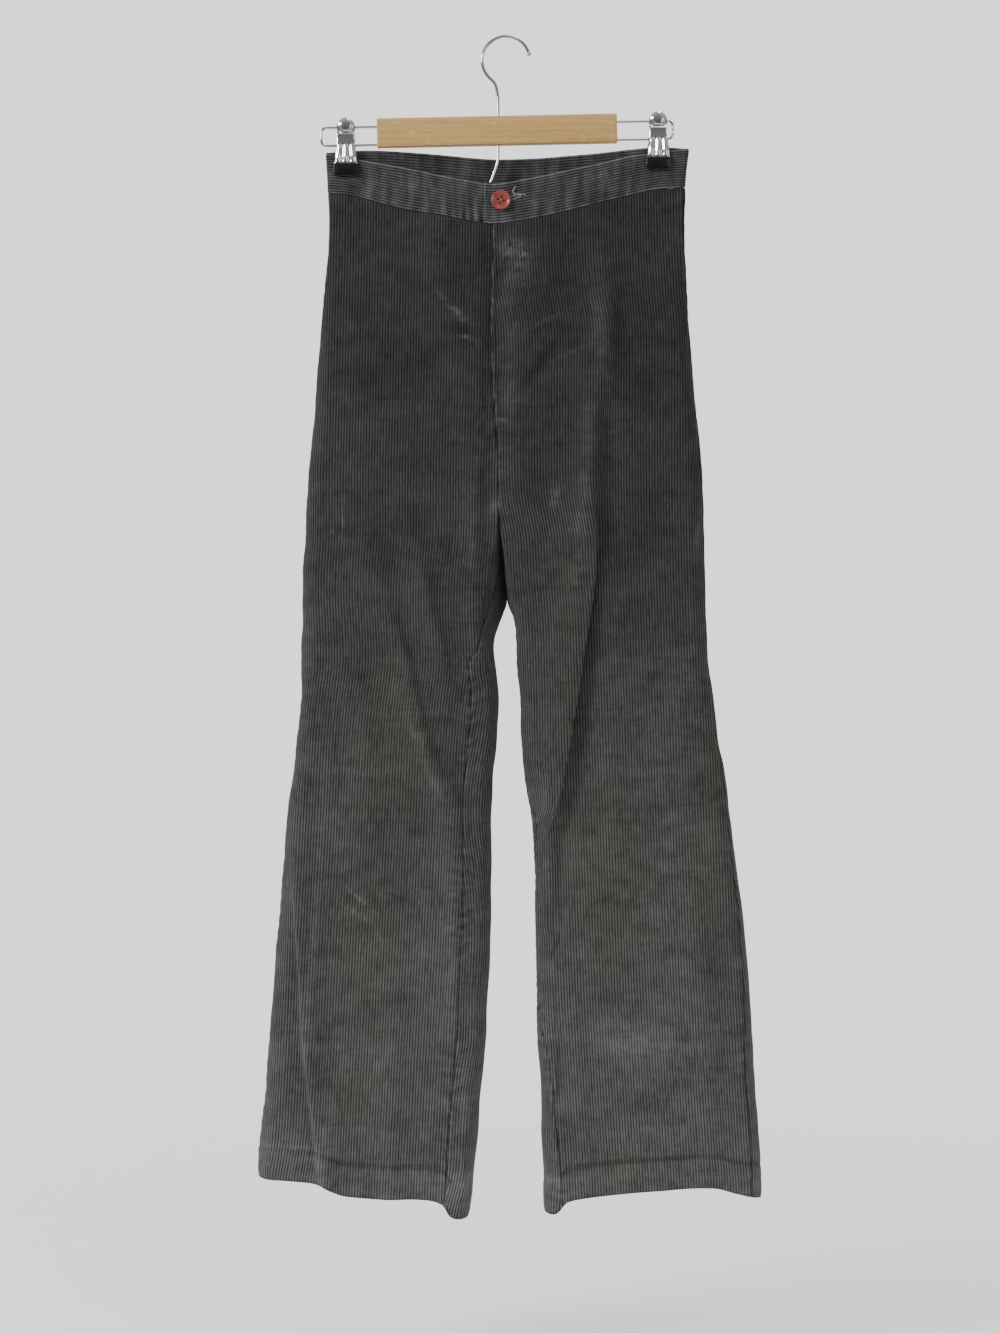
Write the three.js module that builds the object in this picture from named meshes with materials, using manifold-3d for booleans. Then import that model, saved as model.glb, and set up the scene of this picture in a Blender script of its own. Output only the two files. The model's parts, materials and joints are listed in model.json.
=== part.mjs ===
// Flared corduroy trousers on a wooden clip hanger, hanging flat by the waistband.
//
// Sizes are in millimetres. x runs to the viewer's right, y away from the viewer and z up.
// The origin is the point under the hook's bend that bears on a rail, and a "drop" is a
// distance below it. Left and right are the viewer's, except in the names of the garment's
// pieces, which are the wearer's, as a maker names them.

import * as THREE from "three";
import { mergeVertices } from "three/addons/utils/BufferGeometryUtils.js";
import Module from "manifold-3d";

const wasm = await Module();
wasm.setup();

// Driving sizes
const CLOTH = 1.6; // a layer of corduroy, over its ribs
const BAND = 2.8; // the waistband: two layers and their turnings
const BAND_PROUD = 0.5; // how far the band stands out from the panels below it
const HEM_CLOTH = 1.3; // the turned-up layer inside a hem
const HEM_DEPTH = 32; // from the hem's edge to its stitching
const HEM_END = 0.97; // share of that depth at which the turned-up layer meets the edge
const SEAM_GAP = 0.15; // each piece stops this far short of its seam line
const LAY_GAP = 0.35; // between pieces that lie on each other
const FRONT_FORK = 468; // drop where the front panels part into legs
const BACK_FORK = 560; // drop where the back panels part into legs
const INSEAM_START = 0.45; // share of the way along the crotch seam, front to back
const HEM_LINE = 1150; // nominal drop of the hems
const TOP_LINE = 150; // nominal drop of the waist seam
const FLY_END = 385; // drop of the bar tack that ends the fly
const CLIP_CENTRE = -4; // x midway between the two clips
const CLIP_REACH = 156; // from there to each clip
const CLIP_FLAT = 13; // the waist is flat this far to each side of a clip
const PINCH = 3.1; // half the thickness of the waist where a clip holds it
const OPEN_WAIST = 11; // how far each side of the waist hangs open between the clips
const CROWN = 4; // how much rounder the cloth is at its middle than at its folds
const INNER_FOLD = 14; // width of the fold along the inside of each leg
const OVERLAP_END = -22; // x where the band's upper end stops
const UNDERLAP_END = 12; // x where the band's lower end stops, behind the upper one
const FLY_UNDER = 4; // x where the panel under the fly stops
const LAYER = CLOTH + LAY_GAP + 0.05; // from the fly's outer face to the panel under it
const BAND_LAYER = BAND + LAY_GAP + 0.15; // the same for the band's two ends

// The hanger
const BAR = { length: 240, height: 29, thick: 11, x: -9, drop: 93, rise: 5, corner: 2.5 };
// The hook's wire, bend and ball are radii, and it runs from its tip to its end in degrees.
const HOOK = { wire: 1.6, bend: 24, ball: 2.3, tip: 17, end: 222, step: 17, stemX: -8 };
const LOOP = { wire: 1.25, reach: 57, inside: 18, upper: 6.5, lower: -11.5, corner: 5 };
const CLIP = { width: 18, flare: 24, sheet: 1, top: 15.5, knob: 8.4, spring: 4, springZ: -3 };
const TIP = { top: -30.2, end: -43, thick: 3.6, corner: 4 };
const BUTTON = { x: -5, drop: 165, radius: 9.7, thick: 3, rim: 2.2, dish: 0.9, hole: 1, spread: 2 };
const SHANK = { radius: 1.6, height: 1.4 }; // the button's thread, and how far it stands off
const ZIP = { top: 201, end: 372, tape: 0.8, chain: 1.4, chainX: 9.5, chainWidth: 5 };

// A table's rows become objects whose keys are the table's column names.
function table(columns, rows) {
  return rows.map((row) => Object.fromEntries(columns.map((name, i) => [name, row[i]])));
}

// Where the cloth's edges lie at each level, seen from the front. The fly or centre seam is
// the inner edge of both halves above the fork.
const LEVELS = table(
  ["drop", "leftOuter", "leftFront", "leftBack", "rightFront", "rightBack", "rightOuter"],
  [
    [110, -180, -14, 0, -14, 0, 183],
    [150, -178, -14, 0, -14, 0, 179],
    [200, -177, -14, 0, -14, 0, 178],
    [250, -181, -15, 0, -15, 0, 180],
    [300, -185, -16, 0, -16, 0, 183],
    [350, -189, -14, 0, -14, 0, 187],
    [385, -192, -11, 0, -11, 0, 191],
    [420, -195, -8, 0, -8, 0, 194],
    [468, -199, -8, 0, -8, 0, 197],
    [500, -200, -9, 0, -5, 1, 198],
    [530, -202, -12, 1, -2, 1, 198],
    [560, -203, -14, 1, 3, 1, 199],
    [586, -203, -15, -6, 9, 10, 200],
    [610, -204, -14, -11, 10, 12, 201],
    [634, -204, -9, -10, 11, 13, 203],
    [660, -204, -7, -8, 14, 15, 207],
    [700, -208, -9, -10, 15, 17, 212],
    [740, -213, -13, -13, 19, 20, 219],
    [780, -218, -15, -15, 26, 25, 224],
    [830, -222, -14, -15, 30, 29, 230],
    [890, -227, -15, -15, 30, 30, 238],
    [950, -232, -18, -18, 31, 31, 243],
    [1000, -236, -20, -20, 32, 32, 246],
    [1050, -240, -25, -25, 35, 35, 249],
    [1100, -245, -29, -29, 36, 36, 253],
    [1140, -247, -33, -33, 38, 38, 254],
    [1185, -249, -39, -39, 38, 38, 255],
  ],
);

// Half the garment's depth at each level, front and back, and the width of its side folds.
const DEPTHS = table(
  ["drop", "front", "back", "sideFold"],
  [
    [110, 4, 4, 5],
    [180, 7, 8, 7],
    [260, 15, 17, 12],
    [340, 19, 24, 15],
    [440, 20, 26, 16],
    [540, 20, 24, 16],
    [660, 18, 20, 15],
    [800, 17, 20, 15],
    [950, 20, 20, 16],
    [1190, 24, 22, 18],
  ],
);

// How far each seam lies in front of its leg's fold, measured round the cloth.
const SEAMS = table(
  ["drop", "leftOut", "rightOut", "leftIn", "rightIn"],
  [
    [110, -1, 1, 27, -14],
    [250, 1, 4, 27, -14],
    [400, -2, 9, 27, -14],
    [640, -3, 10, 26, -14],
    [850, -3, 15, 27, -14],
    [960, -3, 20, 28, -8],
    [1020, -3, 24, 28, 8],
    [1190, -3, 26, 27, 20],
  ],
);

// The band's upper edge and the seam under it, in front and behind.
const WAIST = table(
  ["x", "frontTop", "frontSeam", "backTop", "backSeam"],
  [
    [-182, 115, 156, 115, 156],
    [-156, 120, 158, 113, 154],
    [-130, 125, 165, 112, 153],
    [-100, 131, 173, 113, 154],
    [-66, 139, 179, 115, 156],
    [-30, 146, 186, 118, 159],
    [-10, 148, 188, 119, 160],
    [30, 141, 182, 118, 159],
    [60, 134, 175, 116, 157],
    [90, 127, 167, 114, 155],
    [120, 119, 159, 111, 152],
    [150, 114, 152, 109, 150],
    [184, 111, 150, 111, 150],
  ],
);

// The hems' lower edges.
const HEMS = table(
  ["x", "front", "back"],
  [
    [-249, 1137, 1137],
    [-208, 1139, 1141],
    [-184, 1142, 1145],
    [-172, 1148, 1148],
    [-158, 1153, 1150],
    [-120, 1156, 1154],
    [-80, 1157, 1160],
    [-62, 1162, 1166],
    [-52, 1174, 1171],
    [-36, 1177, 1177],
    [0, 1177, 1177],
    [36, 1172, 1172],
    [50, 1171, 1169],
    [62, 1159, 1164],
    [96, 1153, 1157],
    [150, 1148, 1151],
    [205, 1145, 1150],
    [228, 1151, 1152],
    [256, 1158, 1158],
  ],
);

// The large folds. Each stands rise proud of the cloth (or sinks, when negative), is about
// two widths across, leans sideways by lean, and runs down a path of [drop, x].
const FOLD_COLUMNS = ["rise", "width", "lean", "path"];
const FRONT_FOLDS = table(FOLD_COLUMNS, [
  [9, 15, 7, [[250, 101], [330, 87], [476, 73], [600, 58], [720, 41], [810, 28]]],
  [-5, 9, 0, [[770, 56], [831, 56], [867, 53], [905, 34]]],
  [3, 18, 0, [[500, 97], [700, 102], [960, 111]]],
  [4, 14, 0, [[860, 190], [1000, 196], [1150, 204]]],
  [4, 12, 3, [[950, 62], [1050, 70], [1170, 74]]],
  [8, 13, -5, [[800, -205], [919, -194], [1002, -189], [1071, -180], [1170, -170]]],
  [5, 16, 3, [[520, -138], [566, -125], [614, -107], [683, -90], [732, -73], [790, -46]]],
  [4, 12, 2, [[470, -104], [524, -90], [586, -75], [660, -56]]],
  [3, 15, 0, [[640, -142], [740, -142], [840, -140]]],
  [4, 11, 0, [[780, -56], [900, -53], [1010, -57]]],
  [4, 11, 0, [[390, -38], [480, -33], [590, -33]]],
  [4, 15, 0, [[960, -110], [1060, -112], [1175, -118]]],
  [3, 14, 0, [[215, -70], [290, -54], [370, -44]]],
  [3, 16, 0, [[200, 36], [270, 34], [340, 22]]],
]);
const BACK_FOLDS = table(FOLD_COLUMNS, [
  [6, 20, 0, [[230, 66], [380, 74], [520, 88], [640, 96]]],
  [6, 20, 0, [[230, -74], [380, -82], [520, -92], [630, -104]]],
  [-5, 13, 0, [[450, 22], [530, 44], [600, 78], [650, 110]]],
  [-5, 13, 0, [[460, -20], [540, -46], [600, -76], [660, -122]]],
  [5, 16, -3, [[600, 128], [740, 132], [900, 142], [1080, 150]]],
  [5, 16, 3, [[620, -96], [760, -106], [900, -120], [1060, -132]]],
  [5, 15, 0, [[860, 82], [1000, 90], [1170, 98]]],
  [4, 14, 0, [[840, -186], [980, -192], [1165, -204]]],
  [3, 12, 0, [[640, 50], [740, 62], [830, 76]]],
  [3, 12, 0, [[760, -58], [900, -66], [1100, -78]]],
]);

const clamp = (value, low = 0, high = 1) => Math.min(high, Math.max(low, value));
const mix = (a, b, share) => a + (b - a) * share;

function ease(from, to, value) {
  const t = clamp((value - from) / (to - from));
  return t * t * (3 - 2 * t);
}

// A smooth curve through one column of a table, flat beyond its ends.
function curveThrough(rows, key, column) {
  const at = rows.map((row) => row[key]);
  const to = rows.map((row) => row[column]);
  const slope = to.map((value, i) => {
    const before = Math.max(i - 1, 0);
    const after = Math.min(i + 1, to.length - 1);
    return (to[after] - to[before]) / (at[after] - at[before]);
  });
  return (value) => {
    const v = clamp(value, at[0], at[at.length - 1]);
    let i = 0;
    while (i < at.length - 2 && v > at[i + 1]) i += 1;
    const span = at[i + 1] - at[i];
    const t = (v - at[i]) / span;
    const s = 1 - t;
    return (
      to[i] * s * s * (1 + 2 * t) +
      to[i + 1] * t * t * (1 + 2 * s) +
      span * s * t * (slope[i] * s - slope[i + 1] * t)
    );
  };
}

function curves(rows, key) {
  const columns = Object.keys(rows[0]).filter((name) => name !== key);
  return Object.fromEntries(columns.map((name) => [name, curveThrough(rows, key, name)]));
}

const level = curves(LEVELS, "drop");
const depth = curves(DEPTHS, "drop");
const seam = curves(SEAMS, "drop");
const waist = curves(WAIST, "x");
const hem = curves(HEMS, "x");

// Under the fly the right-hand panel lies over the left-hand one, which runs on behind it
// and comes level with it again below the bar tack.
const FLY_FADE = { above: 25, below: 8, level: 45, from: -28, to: -17 };
function underFly(drop) {
  const share = 1 - ease(FLY_END - FLY_FADE.above, FLY_END + FLY_FADE.below, drop);
  return mix(level.leftFront(drop), FLY_UNDER, share);
}
function flyInset(x, drop) {
  const share = 1 - ease(FLY_END + FLY_FADE.below, FLY_END + FLY_FADE.level, drop);
  return LAYER * share * ease(FLY_FADE.from, FLY_FADE.to, x);
}

// The halves of the garment: which way is outward, and where each one's edges lie.
const LEFT = {
  name: "right",
  outward: -1,
  outer: level.leftOuter,
  front: underFly,
  back: level.leftBack,
  outseam: seam.leftOut,
  inseam: seam.leftIn,
};
const RIGHT = {
  name: "left",
  outward: 1,
  outer: level.rightOuter,
  front: level.rightFront,
  back: level.rightBack,
  outseam: seam.rightOut,
  inseam: seam.rightIn,
};

// Folds as functions of where the cloth is: how far it is pushed out and sideways.
const FOLD_FADE = 55; // a fold dies away over this length at each end
function foldFunctions(folds) {
  return folds.map(({ rise, width, lean, path }) => {
    const rows = table(["drop", "x"], path);
    const along = curveThrough(rows, "drop", "x");
    const first = rows[0].drop;
    const last = rows[rows.length - 1].drop;
    return (x, drop) => {
      const begun = ease(first - FOLD_FADE, first + FOLD_FADE, drop);
      const fade = begun * (1 - ease(last - FOLD_FADE, last + FOLD_FADE, drop));
      if (fade === 0) return [0, 0];
      const off = (x - along(drop)) / width;
      const share = fade * Math.exp(-off * off);
      return [rise * share, lean * share];
    };
  });
}
const frontFolds = foldFunctions(FRONT_FOLDS);
const backFolds = foldFunctions(BACK_FOLDS);

function foldsAt(x, drop, isFront) {
  let out = 0;
  let side = 0;
  for (const fold of isFront ? frontFolds : backFolds) {
    const [rise, lean] = fold(x, drop);
    out += rise;
    side += lean;
  }
  return { out, side };
}

// How far the cloth stands from the plane of the hanger at a place. Between the clips the
// waist hangs open; at each clip its two sides are pressed together. Lower down the cloth
// is free, and a little rounder at the middle of the body or leg.
const HALF_LEG = 105;
const FREE = { from: 140, to: 330 }; // drops between which the cloth comes free of the clips
const PARTING = { from: 430, to: 640 }; // drops between which one body turns into two legs
function standOff(x, drop, isFront) {
  const off = Math.abs(x - CLIP_CENTRE);
  const across = clamp(off / (CLIP_REACH - CLIP_FLAT));
  const held = PINCH + OPEN_WAIST * (1 - across * across) ** 1.5;
  const torso = 1 - across * across;
  const left = mix(level.leftOuter(drop), level.leftFront(drop), 0.5);
  const right = mix(level.rightOuter(drop), level.rightFront(drop), 0.5);
  const leg = 1 - clamp(Math.abs(x - (x < 0 ? left : right)) / HALF_LEG) ** 2;
  const crown = CROWN * mix(torso, leg, ease(PARTING.from, PARTING.to, drop));
  const free = (isFront ? depth.front(drop) : depth.back(drop)) + crown;
  return mix(held, free, ease(FREE.from, FREE.to, drop));
}

// The seam between the legs runs from the front fork, under the body, to the back fork.
const crotchDrop = (share) => mix(FRONT_FORK, BACK_FORK, share);
const crotchX = (share) => mix(-8, 1, share);

// The leg's fold between its front and back, at a share of the way back. Just under the
// crotch the two legs part as a round arch does.
const ARCH = 30;
function innerEdge(half, share, drop) {
  const open = clamp((drop - crotchDrop(share)) / ARCH);
  const parted = Math.sqrt(open * (2 - open));
  const free = mix(half.front(drop), half.back(drop), share);
  return mix(crotchX(share), free, parted);
}

function innerRadius(share, drop) {
  const front = INNER_FOLD * ease(FRONT_FORK, FRONT_FORK + 150, drop);
  const back = INNER_FOLD * ease(BACK_FORK, BACK_FORK + 130, drop);
  return mix(front, back, share);
}

// A point of the cloth's outer face. round goes round one half of the garment: 0 to 1 the
// front of the side fold, 1 to 2 the front, 2 to 5 the inner fold, 5 to 6 the back and
// 6 to 7 the back of the side fold.
const ROUND = 7;
function clothPoint(half, round, drop) {
  const s = half.outward;
  const outer = half.outer(drop);
  const fold = depth.sideFold(drop);
  const turn = ((round % ROUND) + ROUND) % ROUND;
  let x;
  let reach = 1;
  let isFront = turn < 3.5;
  if (turn <= 1 || turn >= 6) {
    const angle = ((turn <= 1 ? turn : ROUND - turn) * Math.PI) / 2;
    x = outer - s * fold * (1 - Math.cos(angle));
    reach = Math.sin(angle);
  } else if (turn <= 2) {
    x = mix(outer - s * fold, half.front(drop) + s * innerRadius(0, drop), turn - 1);
  } else if (turn < 5) {
    const angle = ((turn - 2) * Math.PI) / 3;
    const share = (1 - Math.cos(angle)) / 2;
    x = innerEdge(half, share, drop) + s * innerRadius(share, drop) * (1 - Math.sin(angle));
    reach = Math.abs(Math.cos(angle));
    isFront = share < 0.5;
  } else {
    x = mix(half.back(drop) + s * innerRadius(1, drop), outer - s * fold, turn - 5);
  }
  const { out, side } = foldsAt(x, drop, isFront);
  const inset = isFront && s < 0 && turn < 2.01 ? flyInset(x, drop) : 0;
  const stand = (standOff(x, drop, isFront) + out) * reach - inset;
  return new THREE.Vector3(x + side * reach, isFront ? -stand : stand, -drop);
}

// The cloth's outward direction at a point of either surface function.
function outward(point, round, drop, turnSign) {
  const a = point(round + 0.004, drop).sub(point(round - 0.004, drop));
  const b = point(round, drop + 0.8).sub(point(round, drop - 0.8));
  return a.cross(b).normalize().multiplyScalar(turnSign);
}

// Round one half at one level: lengths along the cloth, and shares that crowd where it bends.
const STEPS = 140;
const BEND_WEIGHT = 16; // a radian of bend counts as much as this length
const measured = new Map();
function measure(half, drop) {
  const key = half.name + drop.toFixed(3);
  if (measured.has(key)) return measured.get(key);
  const lengths = [0];
  const weights = [0];
  let last = clothPoint(half, 0, drop);
  let heading = null;
  for (let i = 1; i <= STEPS; i += 1) {
    const next = clothPoint(half, (i * ROUND) / STEPS - (i === STEPS ? 1e-6 : 0), drop);
    const way = next.clone().sub(last);
    const length = way.length();
    const bend = heading && length > 1e-6 ? Math.acos(clamp(heading.dot(way) / length, -1, 1)) : 0;
    if (length > 1e-6) heading = way.divideScalar(length);
    lengths.push(lengths[i - 1] + length);
    weights.push(weights[i - 1] + length + BEND_WEIGHT * bend + 1e-6);
    last = next;
  }
  const find = (list, value) => {
    const total = list[STEPS];
    const laps = Math.floor(value / total);
    const rest = value - laps * total;
    let low = 0;
    let high = STEPS;
    while (high - low > 1) {
      const mid = (low + high) >> 1;
      if (list[mid] <= rest) low = mid;
      else high = mid;
    }
    return ((low + (rest - list[low]) / (list[high] - list[low])) * ROUND) / STEPS + laps * ROUND;
  };
  const read = (list, round) => {
    const laps = Math.floor(round / ROUND);
    const step = ((round - laps * ROUND) * STEPS) / ROUND;
    const i = Math.min(Math.floor(step), STEPS - 1);
    return mix(list[i], list[i + 1], step - i) + laps * list[STEPS];
  };
  const result = {
    lengthAt: (round) => read(lengths, round),
    roundAtLength: (value) => find(lengths, value),
    weightAt: (round) => read(weights, round),
    roundAtWeight: (value) => find(weights, value),
  };
  measured.set(key, result);
  return result;
}

// Places round a half: the outseam, the inseam, and a place moved along the cloth.
function outseamRound(half, drop) {
  return measure(half, drop).roundAtLength(half.outseam(drop));
}

const shareToRound = (share) => 2 + (3 * Math.acos(1 - 2 * share)) / Math.PI;
const CROTCH_DROP = crotchDrop(INSEAM_START);
function inseamRound(half, drop) {
  const m = measure(half, drop);
  const seamPlace = m.roundAtLength(m.lengthAt(2.75) - half.inseam(drop));
  return mix(shareToRound(INSEAM_START), seamPlace, ease(CROTCH_DROP, CROTCH_DROP + 120, drop));
}

function shifted(half, round, drop, distance) {
  const m = measure(half, drop);
  return m.roundAtLength(m.lengthAt(round) + distance);
}

// The cloth's levels follow the waist seam at the top and the hem's edge at the bottom.
function clothDrop(half, round, nominal) {
  const turn = ((round % ROUND) + ROUND) % ROUND;
  const isFront = turn < 3.5;
  const top = 1 - ease(TOP_LINE, TOP_LINE + 130, nominal);
  const bottom = ease(HEM_LINE - 150, HEM_LINE, nominal);
  if (top === 0 && bottom === 0) return nominal;
  const { x } = clothPoint(half, round, nominal);
  const seamLine = isFront ? waist.frontSeam(x) : waist.backSeam(x);
  const hemLine = isFront ? hem.front(x) : hem.back(x);
  return nominal + (seamLine + SEAM_GAP - TOP_LINE) * top + (hemLine - HEM_LINE) * bottom;
}

// A closed wall from a sheet of points: the sheet, its copy moved in by the thickness, and
// a strip along each open edge. Faces are triangles that turn the way the sheet faces out.
function wall(points, normals, faces, thickness, proud = 0) {
  const count = points.length;
  const position = [];
  for (const lift of [proud, proud - thickness]) {
    points.forEach((p, i) => {
      const n = normals[i];
      position.push(p.x + n.x * lift, p.y + n.y * lift, p.z + n.z * lift);
    });
  }
  const index = [];
  const edges = new Map();
  for (const [a, b, c] of faces) {
    index.push(a, b, c, a + count, c + count, b + count);
    for (const [from, to] of [[a, b], [b, c], [c, a]]) {
      const back = to + "," + from;
      if (edges.has(back)) edges.delete(back);
      else edges.set(from + "," + to, [from, to]);
    }
  }
  for (const [from, to] of edges.values()) {
    index.push(from, from + count, to, to, from + count, to + count);
  }
  const geometry = new THREE.BufferGeometry();
  geometry.setAttribute("position", new THREE.Float32BufferAttribute(position, 3));
  geometry.setIndex(index);
  return geometry;
}

// Triangles between two rows, each four-sided place split along its shorter diagonal.
const hasShortDiagonal = (p, a, b, c, d) => p[a].distanceTo(p[c]) <= p[b].distanceTo(p[d]);
function stripFaces(upper, lower, isShort, turnSign) {
  const faces = [];
  for (let i = 0; i + 1 < upper.length; i += 1) {
    const [a, b, c, d] = [upper[i], upper[i + 1], lower[i + 1], lower[i]];
    const pair = isShort(i, i + 1) ? [[a, b, c], [a, c, d]] : [[a, b, d], [b, c, d]];
    for (const [q, r, s] of pair) {
      if (q === r || r === s || q === s) continue;
      faces.push(turnSign > 0 ? [q, r, s] : [q, s, r]);
    }
  }
  return faces;
}

// A sheet made of grids that share points along their common edge.
class Sheet {
  constructor(point, turnSign) {
    this.point = point;
    this.turnSign = turnSign;
    this.points = [];
    this.normals = [];
    this.faces = [];
  }

  add(round, drop) {
    this.points.push(this.point(round, drop));
    this.normals.push(outward(this.point, round, drop, this.turnSign));
    return this.points.length - 1;
  }

  // Joins two rows of the same number of points with triangles.
  join(upper, lower) {
    const isShort = (i, j) => hasShortDiagonal(this.points, upper[i], upper[j], lower[j], lower[i]);
    this.faces.push(...stripFaces(upper, lower, isShort, this.turnSign));
  }
}

// Levels of the panels' rows, closer together near the fork.
const ROWS = [
  [TOP_LINE, 172, 195, 219, 244, 270, 297, 325, 353, 381, 410, 440],
  [FRONT_FORK, 488, 510, 534, BACK_FORK, 576, 595, 617, 642, 670, 700, 732, 765],
  [800, 836, 873, 910, 948, 986, 1022, 1056, 1088, HEM_LINE - HEM_DEPTH, HEM_LINE],
].flat();
const MAIN_COLUMNS = 14; // columns across a panel, from the outseam to the centre seam
const FRONT_INNER = 4; // and from there round the thigh to the inseam
const BACK_INNER = 5;
const TILT_FADE = 210; // the rows beside the crotch seam are level again this far below it
const CROTCH_GAP = 0.25; // how far a leg's rows start below the crotch seam
const FORK_GAP = 0.3; // extra room at the inseam just under the crotch

// Where a row meets the inseam. Both panels of a leg use it, so their edges match.
function seamDrop(nominal) {
  const fade = 1 - clamp((nominal - FRONT_FORK) / TILT_FADE);
  return nominal + (CROTCH_DROP + CROTCH_GAP - FRONT_FORK) * fade * (2 - fade);
}

// The drop of a place in the inner part of a row, a share of the way from the panel's main
// part to the inseam. Under the crotch the rows fan out from the fork's corner.
function innerDrop(isFront, share, nominal) {
  const seamShare = mix(isFront ? 0 : 1, INSEAM_START, share);
  const crotch = crotchDrop(seamShare) + CROTCH_GAP * share;
  if (isFront) {
    const fade = 1 - clamp((nominal - FRONT_FORK) / TILT_FADE);
    return nominal + (crotch - FRONT_FORK) * fade * (2 - fade);
  }
  if (nominal >= BACK_FORK) return mix(nominal, seamDrop(nominal), share);
  const start = seamDrop(FRONT_FORK);
  const progress = (seamDrop(nominal) - start) / (seamDrop(BACK_FORK) - start);
  return mix(crotch, mix(BACK_FORK, seamDrop(BACK_FORK), share), progress);
}

// Half the gap at the inseam, wider just under the crotch, where its two edges turn most.
function inseamGap(drop) {
  return SEAM_GAP + FORK_GAP * (1 - ease(CROTCH_DROP + 60, CROTCH_DROP + 130, drop));
}

// Places of the columns round a panel, crowding where the cloth bends.
function placeMain(half, isFront, share, drop) {
  const m = measure(half, drop);
  const fork = isFront ? FRONT_FORK : BACK_FORK;
  const inner = isFront ? 2 : 5;
  const gap = isFront ? SEAM_GAP : -SEAM_GAP;
  const outer = shifted(half, outseamRound(half, drop) + (isFront ? 0 : ROUND), drop, gap);
  const outerWeight = m.weightAt(outer);
  let innerWeight;
  if (drop <= fork) {
    innerWeight = m.weightAt(shifted(half, inner, drop, -gap));
  } else {
    const extra = isFront ? FRONT_INNER : BACK_INNER;
    const span = m.weightAt(inseamRound(half, drop)) - outerWeight;
    const even = outerWeight + (span * MAIN_COLUMNS) / (MAIN_COLUMNS + extra);
    innerWeight = mix(m.weightAt(inner), even, ease(fork, fork + 110, drop));
  }
  return m.roundAtWeight(mix(outerWeight, innerWeight, share));
}

function placeInner(half, isFront, share, drop, nominal) {
  const m = measure(half, drop);
  const fork = isFront ? FRONT_FORK : BACK_FORK;
  const gap = inseamGap(drop);
  const to = shifted(half, inseamRound(half, drop), drop, isFront ? -gap : gap);
  if (share === 1) return to;
  const from = placeMain(half, isFront, 1, drop);
  const byBend = m.roundAtWeight(mix(m.weightAt(from), m.weightAt(to), share));
  const byDepth = shareToRound(mix(isFront ? 0 : 1, INSEAM_START, share));
  return mix(byDepth, byBend, ease(fork, fork + 140, nominal));
}

// One panel: its main part from the outseam to the centre seam or fork, and under the fork
// its inner part, which runs on round the thigh to the inseam.
function panel(half, isFront) {
  const sheet = new Sheet((round, drop) => clothPoint(half, round, drop), half.outward);
  const innerCount = isFront ? FRONT_INNER : BACK_INNER;
  const cornerNominal = isFront ? FRONT_FORK : BACK_FORK;
  const addMain = (share, nominal) => {
    const drop = clothDrop(half, placeMain(half, isFront, share, nominal), nominal);
    return sheet.add(placeMain(half, isFront, share, drop), drop);
  };
  const corner = addMain(1, cornerNominal);
  let lastMain = null;
  let lastInner = null;
  for (const nominal of ROWS) {
    const main = [];
    for (let c = 0; c <= MAIN_COLUMNS; c += 1) {
      const isCorner = c === MAIN_COLUMNS && nominal === cornerNominal;
      main.push(isCorner ? corner : addMain(c / MAIN_COLUMNS, nominal));
    }
    const above = lastMain;
    if (above) sheet.join(above, main);
    lastMain = main;
    if (nominal < FRONT_FORK) continue;
    const inner = [nominal < cornerNominal ? corner : main[MAIN_COLUMNS]];
    for (let c = 1; c <= innerCount; c += 1) {
      const share = c / innerCount;
      const level = innerDrop(isFront, share, nominal);
      const drop = clothDrop(half, placeInner(half, isFront, share, level, nominal), level);
      inner.push(sheet.add(placeInner(half, isFront, share, drop, nominal), drop));
    }
    if (lastInner) {
      sheet.join(lastInner, inner);
      sheet.hemRows = [above.concat(lastInner.slice(1)), main.concat(inner.slice(1))];
    }
    lastInner = inner;
  }
  if (!isFront) sheet.faces = sheet.faces.map(([a, b, c]) => [a, c, b]);
  return sheet;
}

// The turned-up layer inside a leg's hem. It is made from the last two rows of the leg's
// panels, moved in, so that it lies evenly inside them.
function hemTurning(front, back) {
  const [upper, lower] = [0, 1].map((i) => {
    const take = (sheet, row) => row.map((k) => ({ point: sheet.points[k], normal: sheet.normals[k] }));
    const behind = take(back, back.hemRows[i]).slice(1, -1).reverse();
    return take(front, front.hemRows[i]).concat(behind);
  });
  const points = [];
  const normals = [];
  for (const share of [0, HEM_END]) {
    upper.forEach((place, i) => {
      points.push(place.point.clone().lerp(lower[i].point, share));
      normals.push(place.normal.clone().lerp(lower[i].normal, share).normalize());
    });
  }
  const ring = (start) => upper.map((_, i) => start + i).concat(start);
  const places = upper.concat(lower).map((place) => place.point);
  const count = upper.length;
  const isShort = (i, j) => hasShortDiagonal(places, i, j % count, count + (j % count), count + i);
  const faces = stripFaces(ring(0), ring(count), isShort, front.turnSign);
  return wall(points, normals, faces, HEM_CLOTH, -(CLOTH + LAY_GAP));
}

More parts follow.
